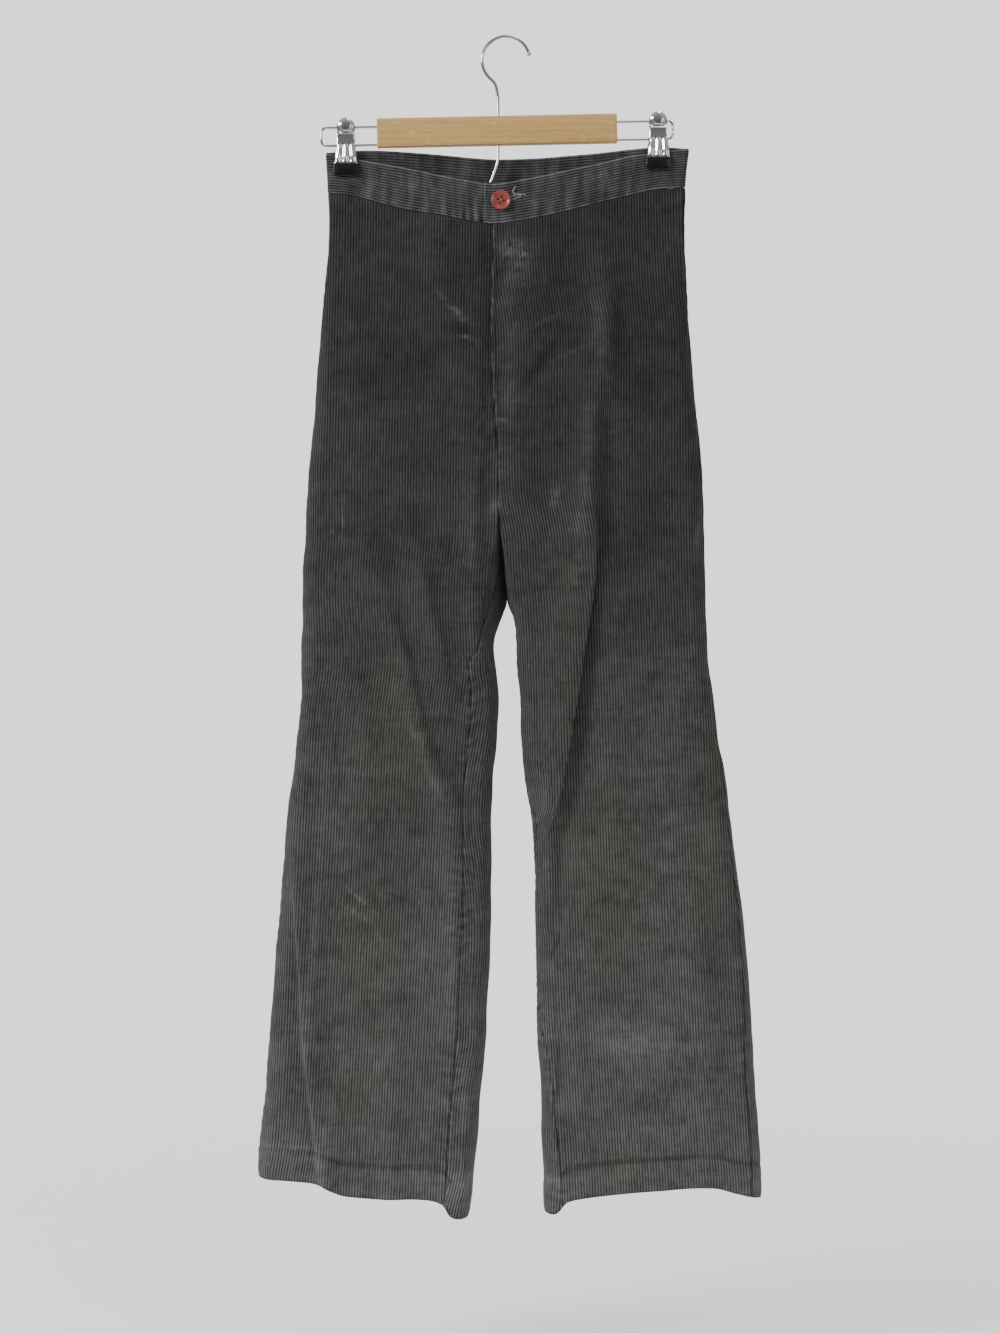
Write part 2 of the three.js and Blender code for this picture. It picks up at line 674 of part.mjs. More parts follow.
// The waistband: one strip round the whole waist, from its upper end over the fly to its
// lower end behind it. round goes 0 to 1 across the right front, 1 to 3 round the right
// fold, 3 to 4 across the back, 4 to 6 round the left fold and 6 to 7 across the left front.
function bandPoint(round, drop) {
  const fold = depth.sideFold(drop);
  const right = level.rightOuter(drop) - fold;
  const left = level.leftOuter(drop) + fold;
  let x;
  let reach = 1;
  const isFront = round < 2 || round > 5;
  if (round <= 1) {
    x = mix(OVERLAP_END, right, round);
  } else if (round <= 3) {
    const angle = ((round - 1) * Math.PI) / 2;
    x = right + fold * Math.sin(angle);
    reach = Math.abs(Math.cos(angle));
  } else if (round <= 4) {
    x = mix(right, left, round - 3);
  } else if (round <= 6) {
    const angle = ((round - 4) * Math.PI) / 2;
    x = left - fold * Math.sin(angle);
    reach = Math.abs(Math.cos(angle));
  } else {
    x = mix(left, UNDERLAP_END, round - 6);
  }
  const inset = round > 6 ? BAND_LAYER * ease(OVERLAP_END - 18, OVERLAP_END - 2.5, x) : 0;
  const stand = standOff(x, drop, isFront) * reach - inset;
  return new THREE.Vector3(x, isFront ? -stand : stand, -drop);
}

const BAND_STEPS = [14, 4, 4, 18, 4, 4, 16]; // columns in each stretch of the band
const BAND_ROWS = [0, 0.5, 1];
function waistband() {
  const sheet = new Sheet(bandPoint, -1);
  const rounds = [0];
  BAND_STEPS.forEach((steps, k) => {
    for (let i = 1; i <= steps; i += 1) rounds.push(k + i / steps);
  });
  let last = null;
  for (const share of BAND_ROWS) {
    const row = rounds.map((round) => {
      const isFront = round <= 2 || round > 5;
      const { x } = bandPoint(round, TOP_LINE);
      const top = isFront ? waist.frontTop(x) : waist.backTop(x);
      const end = (isFront ? waist.frontSeam(x) : waist.backSeam(x)) - SEAM_GAP;
      return sheet.add(round, mix(top, end, share));
    });
    if (last) sheet.join(last, row);
    last = row;
  }
  return wall(sheet.points, sheet.normals, sheet.faces, BAND, BAND_PROUD);
}

// A place on the front of the waist or fly, and the direction that faces out of it.
function frontPlace(x, drop, lift) {
  const place = (px, pd) => new THREE.Vector3(px, -standOff(px, pd, true), -pd);
  const along = place(x + 1, drop).sub(place(x - 1, drop));
  const down = place(x, drop + 1).sub(place(x, drop - 1));
  const normal = down.cross(along).normalize();
  return { point: place(x, drop).addScaledVector(normal, lift), normal };
}

// Turns a mesh made facing up, +z, so that it faces out of the front at a place.
function seatOnFront(mesh, x, drop, lift) {
  const { point, normal } = frontPlace(x, drop, lift);
  mesh.position.copy(point);
  mesh.quaternion.setFromUnitVectors(new THREE.Vector3(0, 0, 1), normal);
  return mesh;
}

// Closed solids for cutting and joining
function toSolid(geometry) {
  const plain = geometry.index ? geometry.toNonIndexed() : geometry.clone();
  plain.deleteAttribute("normal");
  plain.deleteAttribute("uv");
  const merged = mergeVertices(plain, 1e-4);
  return new wasm.Manifold(
    new wasm.Mesh({
      numProp: 3,
      vertProperties: merged.attributes.position.array,
      triVerts: new Uint32Array(merged.index.array),
    }),
  );
}

function fromSolid(solid) {
  const mesh = solid.getMesh();
  const geometry = new THREE.BufferGeometry();
  geometry.setAttribute("position", new THREE.BufferAttribute(new Float32Array(mesh.vertProperties), 3));
  geometry.setIndex(new THREE.BufferAttribute(new Uint32Array(mesh.triVerts), 1));
  return geometry;
}

function cut(geometry, tools) {
  return fromSolid(tools.reduce((solid, tool) => solid.subtract(toSolid(tool)), toSolid(geometry)));
}

function join(geometries) {
  const [first, ...rest] = geometries.map(toSolid);
  return fromSolid(rest.reduce((solid, next) => solid.add(next), first));
}

// A flat outline through a list of [x, y] corners
function outline(corners) {
  return new THREE.Shape(corners.map(([x, y]) => new THREE.Vector2(x, y)));
}

// The buttonhole: a slot through the band's upper end, wide at the button's thread and
// narrow where it shows beside the button, rising with the band.
const SLOT = [[-2.2, 2], [-2.2, -2], [3, -2], [19.5, -0.4], [19.5, 0.9], [3, 2]];
const SLOT_TILT = 0.24;
function buttonhole() {
  const geometry = new THREE.ExtrudeGeometry(outline(SLOT), { depth: BAND + 2, bevelEnabled: false });
  geometry.translate(0, 0, BAND_PROUD - BAND - 1);
  geometry.rotateZ(SLOT_TILT);
  const cutter = seatOnFront(new THREE.Mesh(geometry), BUTTON.x, BUTTON.drop, 0);
  cutter.updateMatrix();
  return geometry.applyMatrix4(cutter.matrix);
}

// A sew-on button with a raised rim and four holes, and the thread that holds it.
function buttonDisc() {
  const { radius, thick, rim, dish, hole, spread } = BUTTON;
  const profile = [
    [0, 0],
    [radius - 1.6, 0],
    [radius, 1.2],
    [radius, thick - 0.7],
    [radius - 0.7, thick],
    [radius - rim, thick],
    [radius - rim - 0.9, thick - dish],
    [0, thick - dish],
  ];
  const disc = new THREE.LatheGeometry(profile.map(([r, h]) => new THREE.Vector2(r, h)), 28);
  disc.rotateX(Math.PI / 2);
  const holes = [-1, 1].flatMap((a) => [-1, 1].map((b) => {
    const drill = new THREE.CylinderGeometry(hole, hole, 4 * thick, 8);
    drill.rotateX(Math.PI / 2);
    return drill.translate(a * spread, b * spread, 0);
  }));
  return cut(disc, holes);
}

function buttonThread() {
  const from = BAND_PROUD - BAND_LAYER + LAY_GAP;
  const to = BAND_PROUD + SHANK.height - LAY_GAP;
  const post = new THREE.CylinderGeometry(SHANK.radius, SHANK.radius, to - from, 10);
  post.rotateX(Math.PI / 2);
  return post.translate(0, 0, (from + to) / 2);
}

// The zip behind the fly: its tape, its closed chain, and its slider with the tab down. The
// tape lies behind the underlap and steps back beside it to make room for the chain.
const TAPE_STEP = 2.6;
const TAPE_EDGES = [-18, -10, -2, 3, 7, 12, 17];
const ZIP_ROWS = 8;
const ZIP_BEND = 340; // drop below which the zip bends with the seam
function tapeDepth(x) {
  return LAYER + CLOTH + LAY_GAP + TAPE_STEP * ease(FLY_UNDER - 1, ZIP.chainX - 2.5, x);
}
function zipStrip(xs, top, end, thickness, depthAt) {
  const sheet = new Sheet((x, drop) => frontPlace(x, drop, -depthAt(x)).point, -1);
  let last = null;
  for (let r = 0; r <= ZIP_ROWS; r += 1) {
    const drop = mix(top, end, r / ZIP_ROWS);
    const bend = (level.leftFront(drop) - level.leftFront(top)) * ease(ZIP_BEND, FLY_END, drop);
    const row = xs.map((x) => sheet.add(x + bend, drop));
    if (last) sheet.join(last, row);
    last = row;
  }
  return wall(sheet.points, sheet.normals, sheet.faces, thickness);
}

const SLIDER = { width: 6, length: 9.5, lift: -5.9 };
const SLIDER_SIDE = [[0, 0], [3, 0], [3, -3], [3.9, -4], [3.9, -24], [3, -24], [3, -9], [0, -9]];
function zipSlider() {
  const options = { depth: SLIDER.width, bevelEnabled: false };
  const slider = new THREE.ExtrudeGeometry(outline(SLIDER_SIDE), options);
  return slider.translate(0, 0, -SLIDER.width / 2).rotateY(-Math.PI / 2);
}

// Materials
function paint(color, roughness, metalness = 0) {
  return new THREE.MeshStandardMaterial({ color, roughness, metalness });
}
const corduroy = paint(0x3c3c3e, 0.95);
const bandCloth = paint(0x38383a, 0.95);
const hemCloth = paint(0x444445, 0.95);
const tapeCloth = paint(0x202021, 0.9);
const thread = paint(0x2a2020, 0.9);
const horn = paint(0xa0544c, 0.45);
const brass = paint(0x8f7b45, 0.4, 1);
const wood = paint(0xc8a269, 0.55);
const chrome = paint(0xb9bcc0, 0.2, 1);
const vinyl = paint(0x0d0d0e, 0.4);

const trousers = new THREE.Group();
function addPiece(name, geometry, material, parent = trousers) {
  const mesh = new THREE.Mesh(geometry, material);
  mesh.name = name;
  parent.add(mesh);
  return mesh;
}

for (const half of [LEFT, RIGHT]) {
  const front = panel(half, true);
  const back = panel(half, false);
  addPiece("front_" + half.name, wall(front.points, front.normals, front.faces, CLOTH), corduroy);
  addPiece("back_" + half.name, wall(back.points, back.normals, back.faces, CLOTH), corduroy);
  addPiece("hem_" + half.name, hemTurning(front, back), hemCloth);
}
addPiece("waistband", cut(waistband(), [buttonhole()]), bandCloth);
seatOnFront(addPiece("button", buttonDisc(), horn), BUTTON.x, BUTTON.drop, BAND_PROUD + SHANK.height);
seatOnFront(addPiece("button_thread", buttonThread(), thread), BUTTON.x, BUTTON.drop, 0);
addPiece("zip_tape", zipStrip(TAPE_EDGES, ZIP.top - 10, ZIP.end, ZIP.tape, tapeDepth), tapeCloth);
const chainEdges = [-0.5, 0, 0.5].map((share) => ZIP.chainX + share * ZIP.chainWidth);
const chainDepth = () => tapeDepth(ZIP.chainX) - LAY_GAP - ZIP.chain;
addPiece("zip_chain", zipStrip(chainEdges, ZIP.top, ZIP.end - 4, ZIP.chain, chainDepth), brass);
seatOnFront(addPiece("zip_slider", zipSlider(), brass), ZIP.chainX, ZIP.top - SLIDER.length, SLIDER.lift);

// The hanger: a wooden bar, a wire loop at each end with a sliding clip, and the hook
const hanger = new THREE.Group();
trousers.add(hanger);
const bar = new THREE.Group();
bar.position.set(BAR.x, 0, -BAR.drop);
bar.rotation.y = -Math.atan(BAR.rise / BAR.length);
hanger.add(bar);
const barLine = (x) => -BAR.drop + ((x - BAR.x) * BAR.rise) / BAR.length;

// A wire of round section along a curve
const WIRE_SIDES = 8;
function wireAlong(curve, radius, steps) {
  const ring = Array.from({ length: WIRE_SIDES }, (_, i) => {
    const angle = (2 * Math.PI * i) / WIRE_SIDES;
    return [radius * Math.cos(angle), radius * Math.sin(angle)];
  });
  const options = { extrudePath: curve, steps, bevelEnabled: false };
  return new THREE.ExtrudeGeometry(outline(ring), options);
}

// Turns an extruded side view, drawn as depth and height, so that it runs along x.
const SIDE_VIEW = new THREE.Matrix4().makeBasis(
  new THREE.Vector3(0, 1, 0),
  new THREE.Vector3(0, 0, 1),
  new THREE.Vector3(1, 0, 0),
);

function rod(radius, length) {
  return new THREE.CylinderGeometry(radius, radius, length, 10);
}

function woodenBar() {
  const { length, height, thick, corner } = BAR;
  const [w, h] = [thick / 2, height / 2];
  const section = new THREE.Shape();
  section.moveTo(-w + corner, -h);
  section.lineTo(w - corner, -h);
  section.quadraticCurveTo(w, -h, w, -h + corner);
  section.lineTo(w, h - corner);
  section.quadraticCurveTo(w, h, w - corner, h);
  section.lineTo(-w + corner, h);
  section.quadraticCurveTo(-w, h, -w, h - corner);
  section.lineTo(-w, -h + corner);
  section.quadraticCurveTo(-w, -h, -w + corner, -h);
  const edge = 0.5;
  const block = new THREE.ExtrudeGeometry(section, {
    depth: length - 2 * edge,
    bevelSize: edge,
    bevelThickness: edge,
    bevelOffset: -edge,
    bevelSegments: 1,
    curveSegments: 3,
  });
  block.translate(0, 0, edge - length / 2).applyMatrix4(SIDE_VIEW);
  const stem = rod(HOOK.wire + LAY_GAP, 2 * height).rotateX(Math.PI / 2);
  stem.translate(HOOK.stemX - BAR.x, 0, 0).rotateY(Math.atan(BAR.rise / BAR.length));
  const bores = [stem];
  for (const end of [-1, 1]) {
    for (const z of [LOOP.upper, LOOP.lower]) {
      const bore = rod(LOOP.wire + LAY_GAP, 2 * LOOP.inside + 2).rotateZ(Math.PI / 2);
      bores.push(bore.translate((end * length) / 2, 0, z));
    }
  }
  return cut(block, bores);
}

// A wire loop leaves the bar's end, turns down and comes back into it.
function wireLoop(end) {
  const { reach, inside, upper, lower, corner } = LOOP;
  const tip = BAR.length / 2 + reach - LOOP.wire;
  const start = BAR.length / 2 - inside;
  const path = new THREE.CurvePath();
  const at = (x, z) => new THREE.Vector3(end * x, 0, z);
  path.add(new THREE.LineCurve3(at(start, upper), at(tip - corner, upper)));
  path.add(new THREE.QuadraticBezierCurve3(at(tip - corner, upper), at(tip, upper), at(tip, upper - corner)));
  path.add(new THREE.LineCurve3(at(tip, upper - corner), at(tip, lower + corner)));
  path.add(new THREE.QuadraticBezierCurve3(at(tip, lower + corner), at(tip, lower), at(tip - corner, lower)));
  path.add(new THREE.LineCurve3(at(tip - corner, lower), at(start, lower)));
  return wireAlong(path, LOOP.wire, 44);
}

// The hook is one wire: its bend over the rail, its stem through the bar, and its bent end
// hanging into the waist. The stem's places are [distance from its own line, drop].
const STEM = [[-3, 46], [-0.4, 57], [0, 70], [0, 90], [0, 112], [-0.5, 124], [-4, 135], [-8, 146]];
function hookWire() {
  const points = [];
  for (let angle = HOOK.tip; angle <= HOOK.end; angle += HOOK.step) {
    const a = THREE.MathUtils.degToRad(angle);
    const z = HOOK.wire - HOOK.bend + HOOK.bend * Math.sin(a);
    points.push(new THREE.Vector3(HOOK.bend * Math.cos(a), 0, z));
  }
  for (const [off, drop] of STEM) points.push(new THREE.Vector3(HOOK.stemX + off, 0, -drop));
  const wire = wireAlong(new THREE.CatmullRomCurve3(points, false, "centripetal"), HOOK.wire, 52);
  const ball = new THREE.SphereGeometry(HOOK.ball, 10, 7);
  ball.translate(points[0].x, 0, points[0].z - HOOK.ball / 4);
  return join([wire, ball]);
}

// A clip's two jaws are bent from sheet: pinched on the upper wire, bowed round the spring,
// and flared towards the tips.
function clipJaw() {
  const { width, flare, sheet, top, spring } = CLIP;
  const bow = spring + LAY_GAP;
  const grip = LOOP.wire + LAY_GAP;
  const flank = [[-14, 4.6], [-22, 5.6], [TIP.top + LAY_GAP, 5.3]];
  const inner = [[top, grip], [2.5, grip], [-0.5, bow], [-5.5, bow], ...flank];
  const near = inner.map(([z, y]) => [y, z]);
  const far = near.map(([y, z]) => [y + sheet, z]).reverse();
  const options = { depth: width, steps: 3, bevelEnabled: false };
  const jaw = new THREE.ExtrudeGeometry(outline(near.concat(far)), options);
  jaw.translate(0, 0, -width / 2).applyMatrix4(SIDE_VIEW);
  const spots = jaw.attributes.position;
  for (let i = 0; i < spots.count; i += 1) {
    const grow = mix(1, flare / width, ease(-14, -26, spots.getZ(i)));
    spots.setX(i, spots.getX(i) * grow);
  }
  return jaw;
}

// The rubbery tip that grips the cloth, rounded at its lower corners.
function clipTip() {
  const { top, end, thick, corner } = TIP;
  const half = CLIP.flare / 2;
  const face = new THREE.Shape();
  face.moveTo(-half, top);
  face.lineTo(-half, end + corner);
  face.quadraticCurveTo(-half, end, -half + corner, end);
  face.lineTo(half - corner, end);
  face.quadraticCurveTo(half, end, half, end + corner);
  face.lineTo(half, top);
  face.closePath();
  const tip = new THREE.ExtrudeGeometry(face, { depth: thick, curveSegments: 4, bevelEnabled: false });
  return tip.rotateX(Math.PI / 2).translate(0, PINCH + BAND_PROUD + LAY_GAP + thick, 0);
}

// The domed head of the clip's rivet, which its front jaw carries
function clipKnob() {
  const profile = [[0, 0], [7.7, 0], [7.7, 1], [6.4, 2.5], [3.6, 3.4], [0, 3.6]];
  const knob = new THREE.LatheGeometry(profile.map(([r, h]) => new THREE.Vector2(r, h)), 18);
  return knob.translate(0, LOOP.wire + LAY_GAP + 0.7 * CLIP.sheet, 0);
}

for (const [name, end] of [["left", -1], ["right", 1]]) {
  const x = CLIP_CENTRE + end * CLIP_REACH;
  addPiece("wire_" + name, wireLoop(end), chrome, bar);
  const clip = new THREE.Group();
  clip.position.set(x, 0, barLine(x));
  hanger.add(clip);
  const knob = clipKnob().translate(0, 0, CLIP.knob);
  addPiece("clip_" + name + "_back", clipJaw(), chrome, clip);
  addPiece("clip_" + name + "_front", join([clipJaw(), knob]), chrome, clip).rotation.z = Math.PI;
  addPiece("clip_" + name + "_tip_back", clipTip(), vinyl, clip);
  addPiece("clip_" + name + "_tip_front", clipTip(), vinyl, clip).rotation.z = Math.PI;
  const spring = rod(CLIP.spring, CLIP.width - 4).rotateZ(Math.PI / 2);
  addPiece("clip_" + name + "_spring", spring.translate(0, 0, CLIP.springZ), chrome, clip);
}
addPiece("hanger_bar", woodenBar(), wood, bar);
addPiece("hook", hookWire(), chrome, hanger);

export default trousers;
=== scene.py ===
"""Looks of the flared corduroy trousers and their clip hanger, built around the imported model.

Sizes are in millimetres until a mesh is made, and in metres from there on. A "drop" is a
distance below the hook's bend, and a "turn" is a place round one half of the garment: 0 to 1
the front of its side fold, 1 to 2 its front, 2 to 5 the fold along the inside of the leg, 5 to 6
its back and 6 to 7 the back of the side fold. Left and right are the viewer's, except in the
names of the garment's pieces, which are the wearer's.
"""

import json
import logging
import math
from dataclasses import dataclass
from enum import Enum

import bpy
import numpy as np
from bpy.types import GeometryNodeTree, Material, Node, NodeSocket, NodeTree, Object
from mathutils import Matrix, Vector

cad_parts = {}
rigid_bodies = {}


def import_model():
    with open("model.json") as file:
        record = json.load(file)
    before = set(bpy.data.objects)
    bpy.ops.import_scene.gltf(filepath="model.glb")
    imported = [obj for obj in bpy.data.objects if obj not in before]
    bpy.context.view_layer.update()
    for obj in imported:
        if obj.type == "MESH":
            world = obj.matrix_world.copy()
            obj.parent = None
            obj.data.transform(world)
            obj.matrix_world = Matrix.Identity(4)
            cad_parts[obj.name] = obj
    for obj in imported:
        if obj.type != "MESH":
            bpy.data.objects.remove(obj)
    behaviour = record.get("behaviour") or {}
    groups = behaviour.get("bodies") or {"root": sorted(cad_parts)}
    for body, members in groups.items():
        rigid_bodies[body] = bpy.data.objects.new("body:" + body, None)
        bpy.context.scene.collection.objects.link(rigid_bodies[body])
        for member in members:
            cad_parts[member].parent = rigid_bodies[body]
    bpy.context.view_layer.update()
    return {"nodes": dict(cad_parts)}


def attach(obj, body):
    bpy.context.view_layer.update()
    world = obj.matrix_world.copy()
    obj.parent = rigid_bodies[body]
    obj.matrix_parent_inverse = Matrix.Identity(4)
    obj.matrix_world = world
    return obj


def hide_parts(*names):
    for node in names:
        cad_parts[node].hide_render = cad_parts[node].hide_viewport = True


Array = np.ndarray
Color = tuple[float, float, float, float]
Point = tuple[float, float, float]
LOG = logging.getLogger("trousers")
TURN = 2 * math.pi
MM = 0.001
ROUND = 7.0

# The cloth's own sizes, as the solids have them.
CLOTH = 1.6
BAND = 2.8
BAND_PROUD = 0.5
SEAM_GAP = 0.15
LAY_GAP = 0.35
LAYER = CLOTH + LAY_GAP + 0.05
BAND_LAYER = BAND + LAY_GAP + 0.15
FRONT_FORK = 468.0
BACK_FORK = 560.0
INSEAM_START = 0.45
HEM_LINE = 1150.0
TOP_LINE = 150.0
HEM_DEPTH = 32.0
FLY_END = 385.0
OVERLAP_END = -22.0
UNDERLAP_END = 12.0
WALE = 2.8  # from one rib of the cord to the next
FAR = 1000.0
BUTTON_AT = (-5.0, 165.0)
SLOT_TURN = Matrix.Rotation(0.24, 4, "Z")
CROTCH_DROP = FRONT_FORK + (BACK_FORK - FRONT_FORK) * INSEAM_START

# Where the cloth's edges lie at each level, seen from the front.
LEVELS = (
    (110, -180, -14, 0, -14, 0, 183),
    (150, -178, -14, 0, -14, 0, 179),
    (200, -177, -14, 0, -14, 0, 178),
    (250, -181, -15, 0, -15, 0, 180),
    (300, -185, -16, 0, -16, 0, 183),
    (350, -189, -14, 0, -14, 0, 187),
    (385, -192, -11, 0, -11, 0, 191),
    (420, -195, -8, 0, -8, 0, 194),
    (468, -199, -8, 0, -8, 0, 197),
    (500, -200, -9, 0, -5, 1, 198),
    (530, -202, -12, 1, -2, 1, 198),
    (560, -203, -14, 1, 3, 1, 199),
    (586, -203, -15, -6, 9, 10, 200),
    (610, -204, -14, -11, 10, 12, 201),
    (634, -204, -9, -10, 11, 13, 203),
    (660, -204, -7, -8, 14, 15, 207),
    (700, -208, -9, -10, 15, 17, 212),
    (740, -213, -13, -13, 19, 20, 219),
    (780, -218, -15, -15, 26, 25, 224),
    (830, -222, -14, -15, 30, 29, 230),
    (890, -227, -15, -15, 30, 30, 238),
    (950, -232, -18, -18, 31, 31, 243),
    (1000, -236, -20, -20, 32, 32, 246),
    (1050, -240, -25, -25, 35, 35, 249),
    (1100, -245, -29, -29, 36, 36, 253),
    (1140, -247, -33, -33, 38, 38, 254),
    (1185, -249, -39, -39, 38, 38, 255),
)

# Half the garment's depth at each level, front and back, and the width of its side folds.
DEPTHS = (
    (110, 4, 4, 5),
    (180, 7, 8, 7),
    (260, 15, 17, 12),
    (340, 19, 24, 15),
    (440, 20, 26, 16),
    (540, 20, 24, 16),
    (660, 18, 20, 15),
    (800, 17, 20, 15),
    (950, 20, 20, 16),
    (1190, 24, 22, 18),
)

# How far each seam lies in front of its leg's fold, measured round the cloth.
SEAMS = (
    (110, -1, 1, 27, -14),
    (250, 1, 4, 27, -14),
    (400, -2, 9, 27, -14),
    (640, -3, 10, 26, -14),
    (850, -3, 15, 27, -14),
    (960, -3, 20, 28, -8),
    (1020, -3, 24, 28, 8),
    (1190, -3, 26, 27, 20),
)

# The band's upper edge and the seam under it, in front and behind.
WAIST = (
    (-182, 115, 156, 115, 156),
    (-156, 120, 158, 113, 154),
    (-130, 125, 165, 112, 153),
    (-100, 131, 173, 113, 154),
    (-66, 139, 179, 115, 156),
    (-30, 146, 186, 118, 159),
    (-10, 148, 188, 119, 160),
    (30, 141, 182, 118, 159),
    (60, 134, 175, 116, 157),
    (90, 127, 167, 114, 155),
    (120, 119, 159, 111, 152),
    (150, 114, 152, 109, 150),
    (184, 111, 150, 111, 150),
)

# The hems' lower edges.
HEMS = (
    (-249, 1137, 1137),
    (-208, 1139, 1141),
    (-184, 1142, 1145),
    (-172, 1148, 1148),
    (-158, 1153, 1150),
    (-120, 1156, 1154),
    (-80, 1157, 1160),
    (-62, 1162, 1166),
    (-52, 1174, 1171),
    (-36, 1177, 1177),
    (0, 1177, 1177),
    (36, 1172, 1172),
    (50, 1171, 1169),
    (62, 1159, 1164),
    (96, 1153, 1157),
    (150, 1148, 1151),
    (205, 1145, 1150),
    (228, 1151, 1152),
    (256, 1158, 1158),
)

# The straight grain down the middle of each leg, which the cord's ribs run along.
GRAIN = (
    (110, -94, 90),
    (300, -96, 92),
    (450, -99, 95),
    (700, -107, 103),
    (950, -119, 112),
    (1190, -131, 126),
)


@dataclass(frozen=True)
class Fold:
    """A ridge in the cloth, or a trough where its rise is negative, along a path of (drop, x)."""

    rise: float
    width: float
    lean: float
    path: tuple[tuple[float, float], ...]
    fade: float = 55.0


# The large folds, which the solids have too, and after them the finer ones. Each row is a Fold.
FRONT_FOLDS = (
    (9, 15, 7, ((250, 101), (330, 87), (476, 73), (600, 58), (720, 41), (810, 28))),
    (-5, 9, 0, ((770, 56), (831, 56), (867, 53), (905, 34))),
    (3, 18, 0, ((500, 97), (700, 102), (960, 111))),
    (4, 14, 0, ((860, 190), (1000, 196), (1150, 204))),
    (4, 12, 3, ((950, 62), (1050, 70), (1170, 74))),
    (8, 13, -5, ((800, -205), (919, -194), (1002, -189), (1071, -180), (1170, -170))),
    (5, 16, 3, ((520, -138), (566, -125), (614, -107), (683, -90), (732, -73), (790, -46))),
    (4, 12, 2, ((470, -104), (524, -90), (586, -75), (660, -56))),
    (3, 15, 0, ((640, -142), (740, -142), (840, -140))),
    (4, 11, 0, ((780, -56), (900, -53), (1010, -57))),
    (4, 11, 0, ((390, -38), (480, -33), (590, -33))),
    (4, 15, 0, ((960, -110), (1060, -112), (1175, -118))),
    (3, 14, 0, ((215, -70), (290, -54), (370, -44))),
    (3, 16, 0, ((200, 36), (270, 34), (340, 22))),
)
BACK_FOLDS = (
    (6, 20, 0, ((230, 66), (380, 74), (520, 88), (640, 96))),
    (6, 20, 0, ((230, -74), (380, -82), (520, -92), (630, -104))),
    (-5, 13, 0, ((450, 22), (530, 44), (600, 78), (650, 110))),
    (-5, 13, 0, ((460, -20), (540, -46), (600, -76), (660, -122))),
    (5, 16, -3, ((600, 128), (740, 132), (900, 142), (1080, 150))),
    (5, 16, 3, ((620, -96), (760, -106), (900, -120), (1060, -132))),
    (5, 15, 0, ((860, 82), (1000, 90), (1170, 98))),
    (4, 14, 0, ((840, -186), (980, -192), (1165, -204))),
    (3, 12, 0, ((640, 50), (740, 62), (830, 76))),
    (3, 12, 0, ((760, -58), (900, -66), (1100, -78))),
)
FINE_FRONT = (
    (3.5, 7, 9, ((470, 74), (540, 73), (600, 65), (690, 50), (767, 35), (800, 29)), 40),
    (-3.2, 5, 0, ((530, 84), (600, 75), (690, 58), (767, 44), (810, 36)), 40),
    (1.6, 6, 3, ((867, 50), (903, 45), (913, 38), (922, 34)), 16),
    (-1.8, 4, 0, ((880, 56), (910, 49), (930, 40)), 16),
    (1.8, 5, 3, ((929, 44), (962, 43), (990, 42)), 20),
    (2.0, 5, 2, ((1000, 47), (1040, 46), (1075, 45)), 16),
    (-1.6, 4, 0, ((995, 52), (1040, 51), (1078, 50)), 16),
    (2.4, 6, -5, ((846, -201), (919, -194), (1002, -189), (1071, -180), (1130, -173)), 45),
    (-2.2, 6, 0, ((900, -206), (1002, -201), (1071, -192), (1130, -186)), 35),
    (1.6, 7, 2, ((566, -125), (614, -107), (683, -90), (732, -73), (760, -52)), 25),
    (-1.6, 8, 0, ((560, -116), (620, -96), (690, -80), (740, -60)), 30),
    (1.4, 6, 1, ((524, -90), (560, -82), (586, -75), (635, -62)), 25),
    (1.5, 5, 0, ((800, -53), (900, -52), (995, -55)), 30),
    (-1.4, 5, 0, ((1020, -48), (1070, -47), (1110, -46)), 20),
    (1.8, 5, 2, ((1090, -46), (1120, -44), (1150, -43)), 16),
    (-1.3, 5, 0, ((262, -56), (290, -48), (306, -43)), 14),
    (1.5, 5, 0, ((258, -62), (282, -52), (300, -46)), 14),
    (1.3, 4, 0, ((292, -48), (301, -36), (310, -26)), 8),
    (-1.3, 4, 0, ((299, -46), (308, -34), (317, -24)), 8),
    (1.2, 5, 0, ((330, -44), (345, -34), (362, -24)), 12),
    (-1.2, 4, 0, ((372, -20), (384, -28), (396, -34)), 10),
    (1.3, 4, 0, ((384, -12), (410, -22), (446, -27)), 14),
    (1.4, 6, 0, ((300, 50), (322, 30), (344, 14)), 14),
    (-1.2, 6, 0, ((316, 52), (338, 32), (360, 16)), 14),
    (1.2, 5, 0, ((196, 2), (206, 12), (214, 22)), 9),
    (-1.4, 4, 0, ((203, 0), (213, 9), (222, 18)), 9),
    (1.2, 5, 0, ((216, 4), (224, 14), (236, 30)), 9),
    (1.0, 14, 0, ((200, -150), (260, -146), (330, -150)), 40),
    (1.0, 14, 0, ((200, 152), (260, 150), (340, 152)), 40),
    (-1.0, 16, 0, ((600, 150), (740, 152), (900, 160)), 60),
    (1.0, 12, 0, ((690, 172), (800, 176), (930, 184)), 50),
)
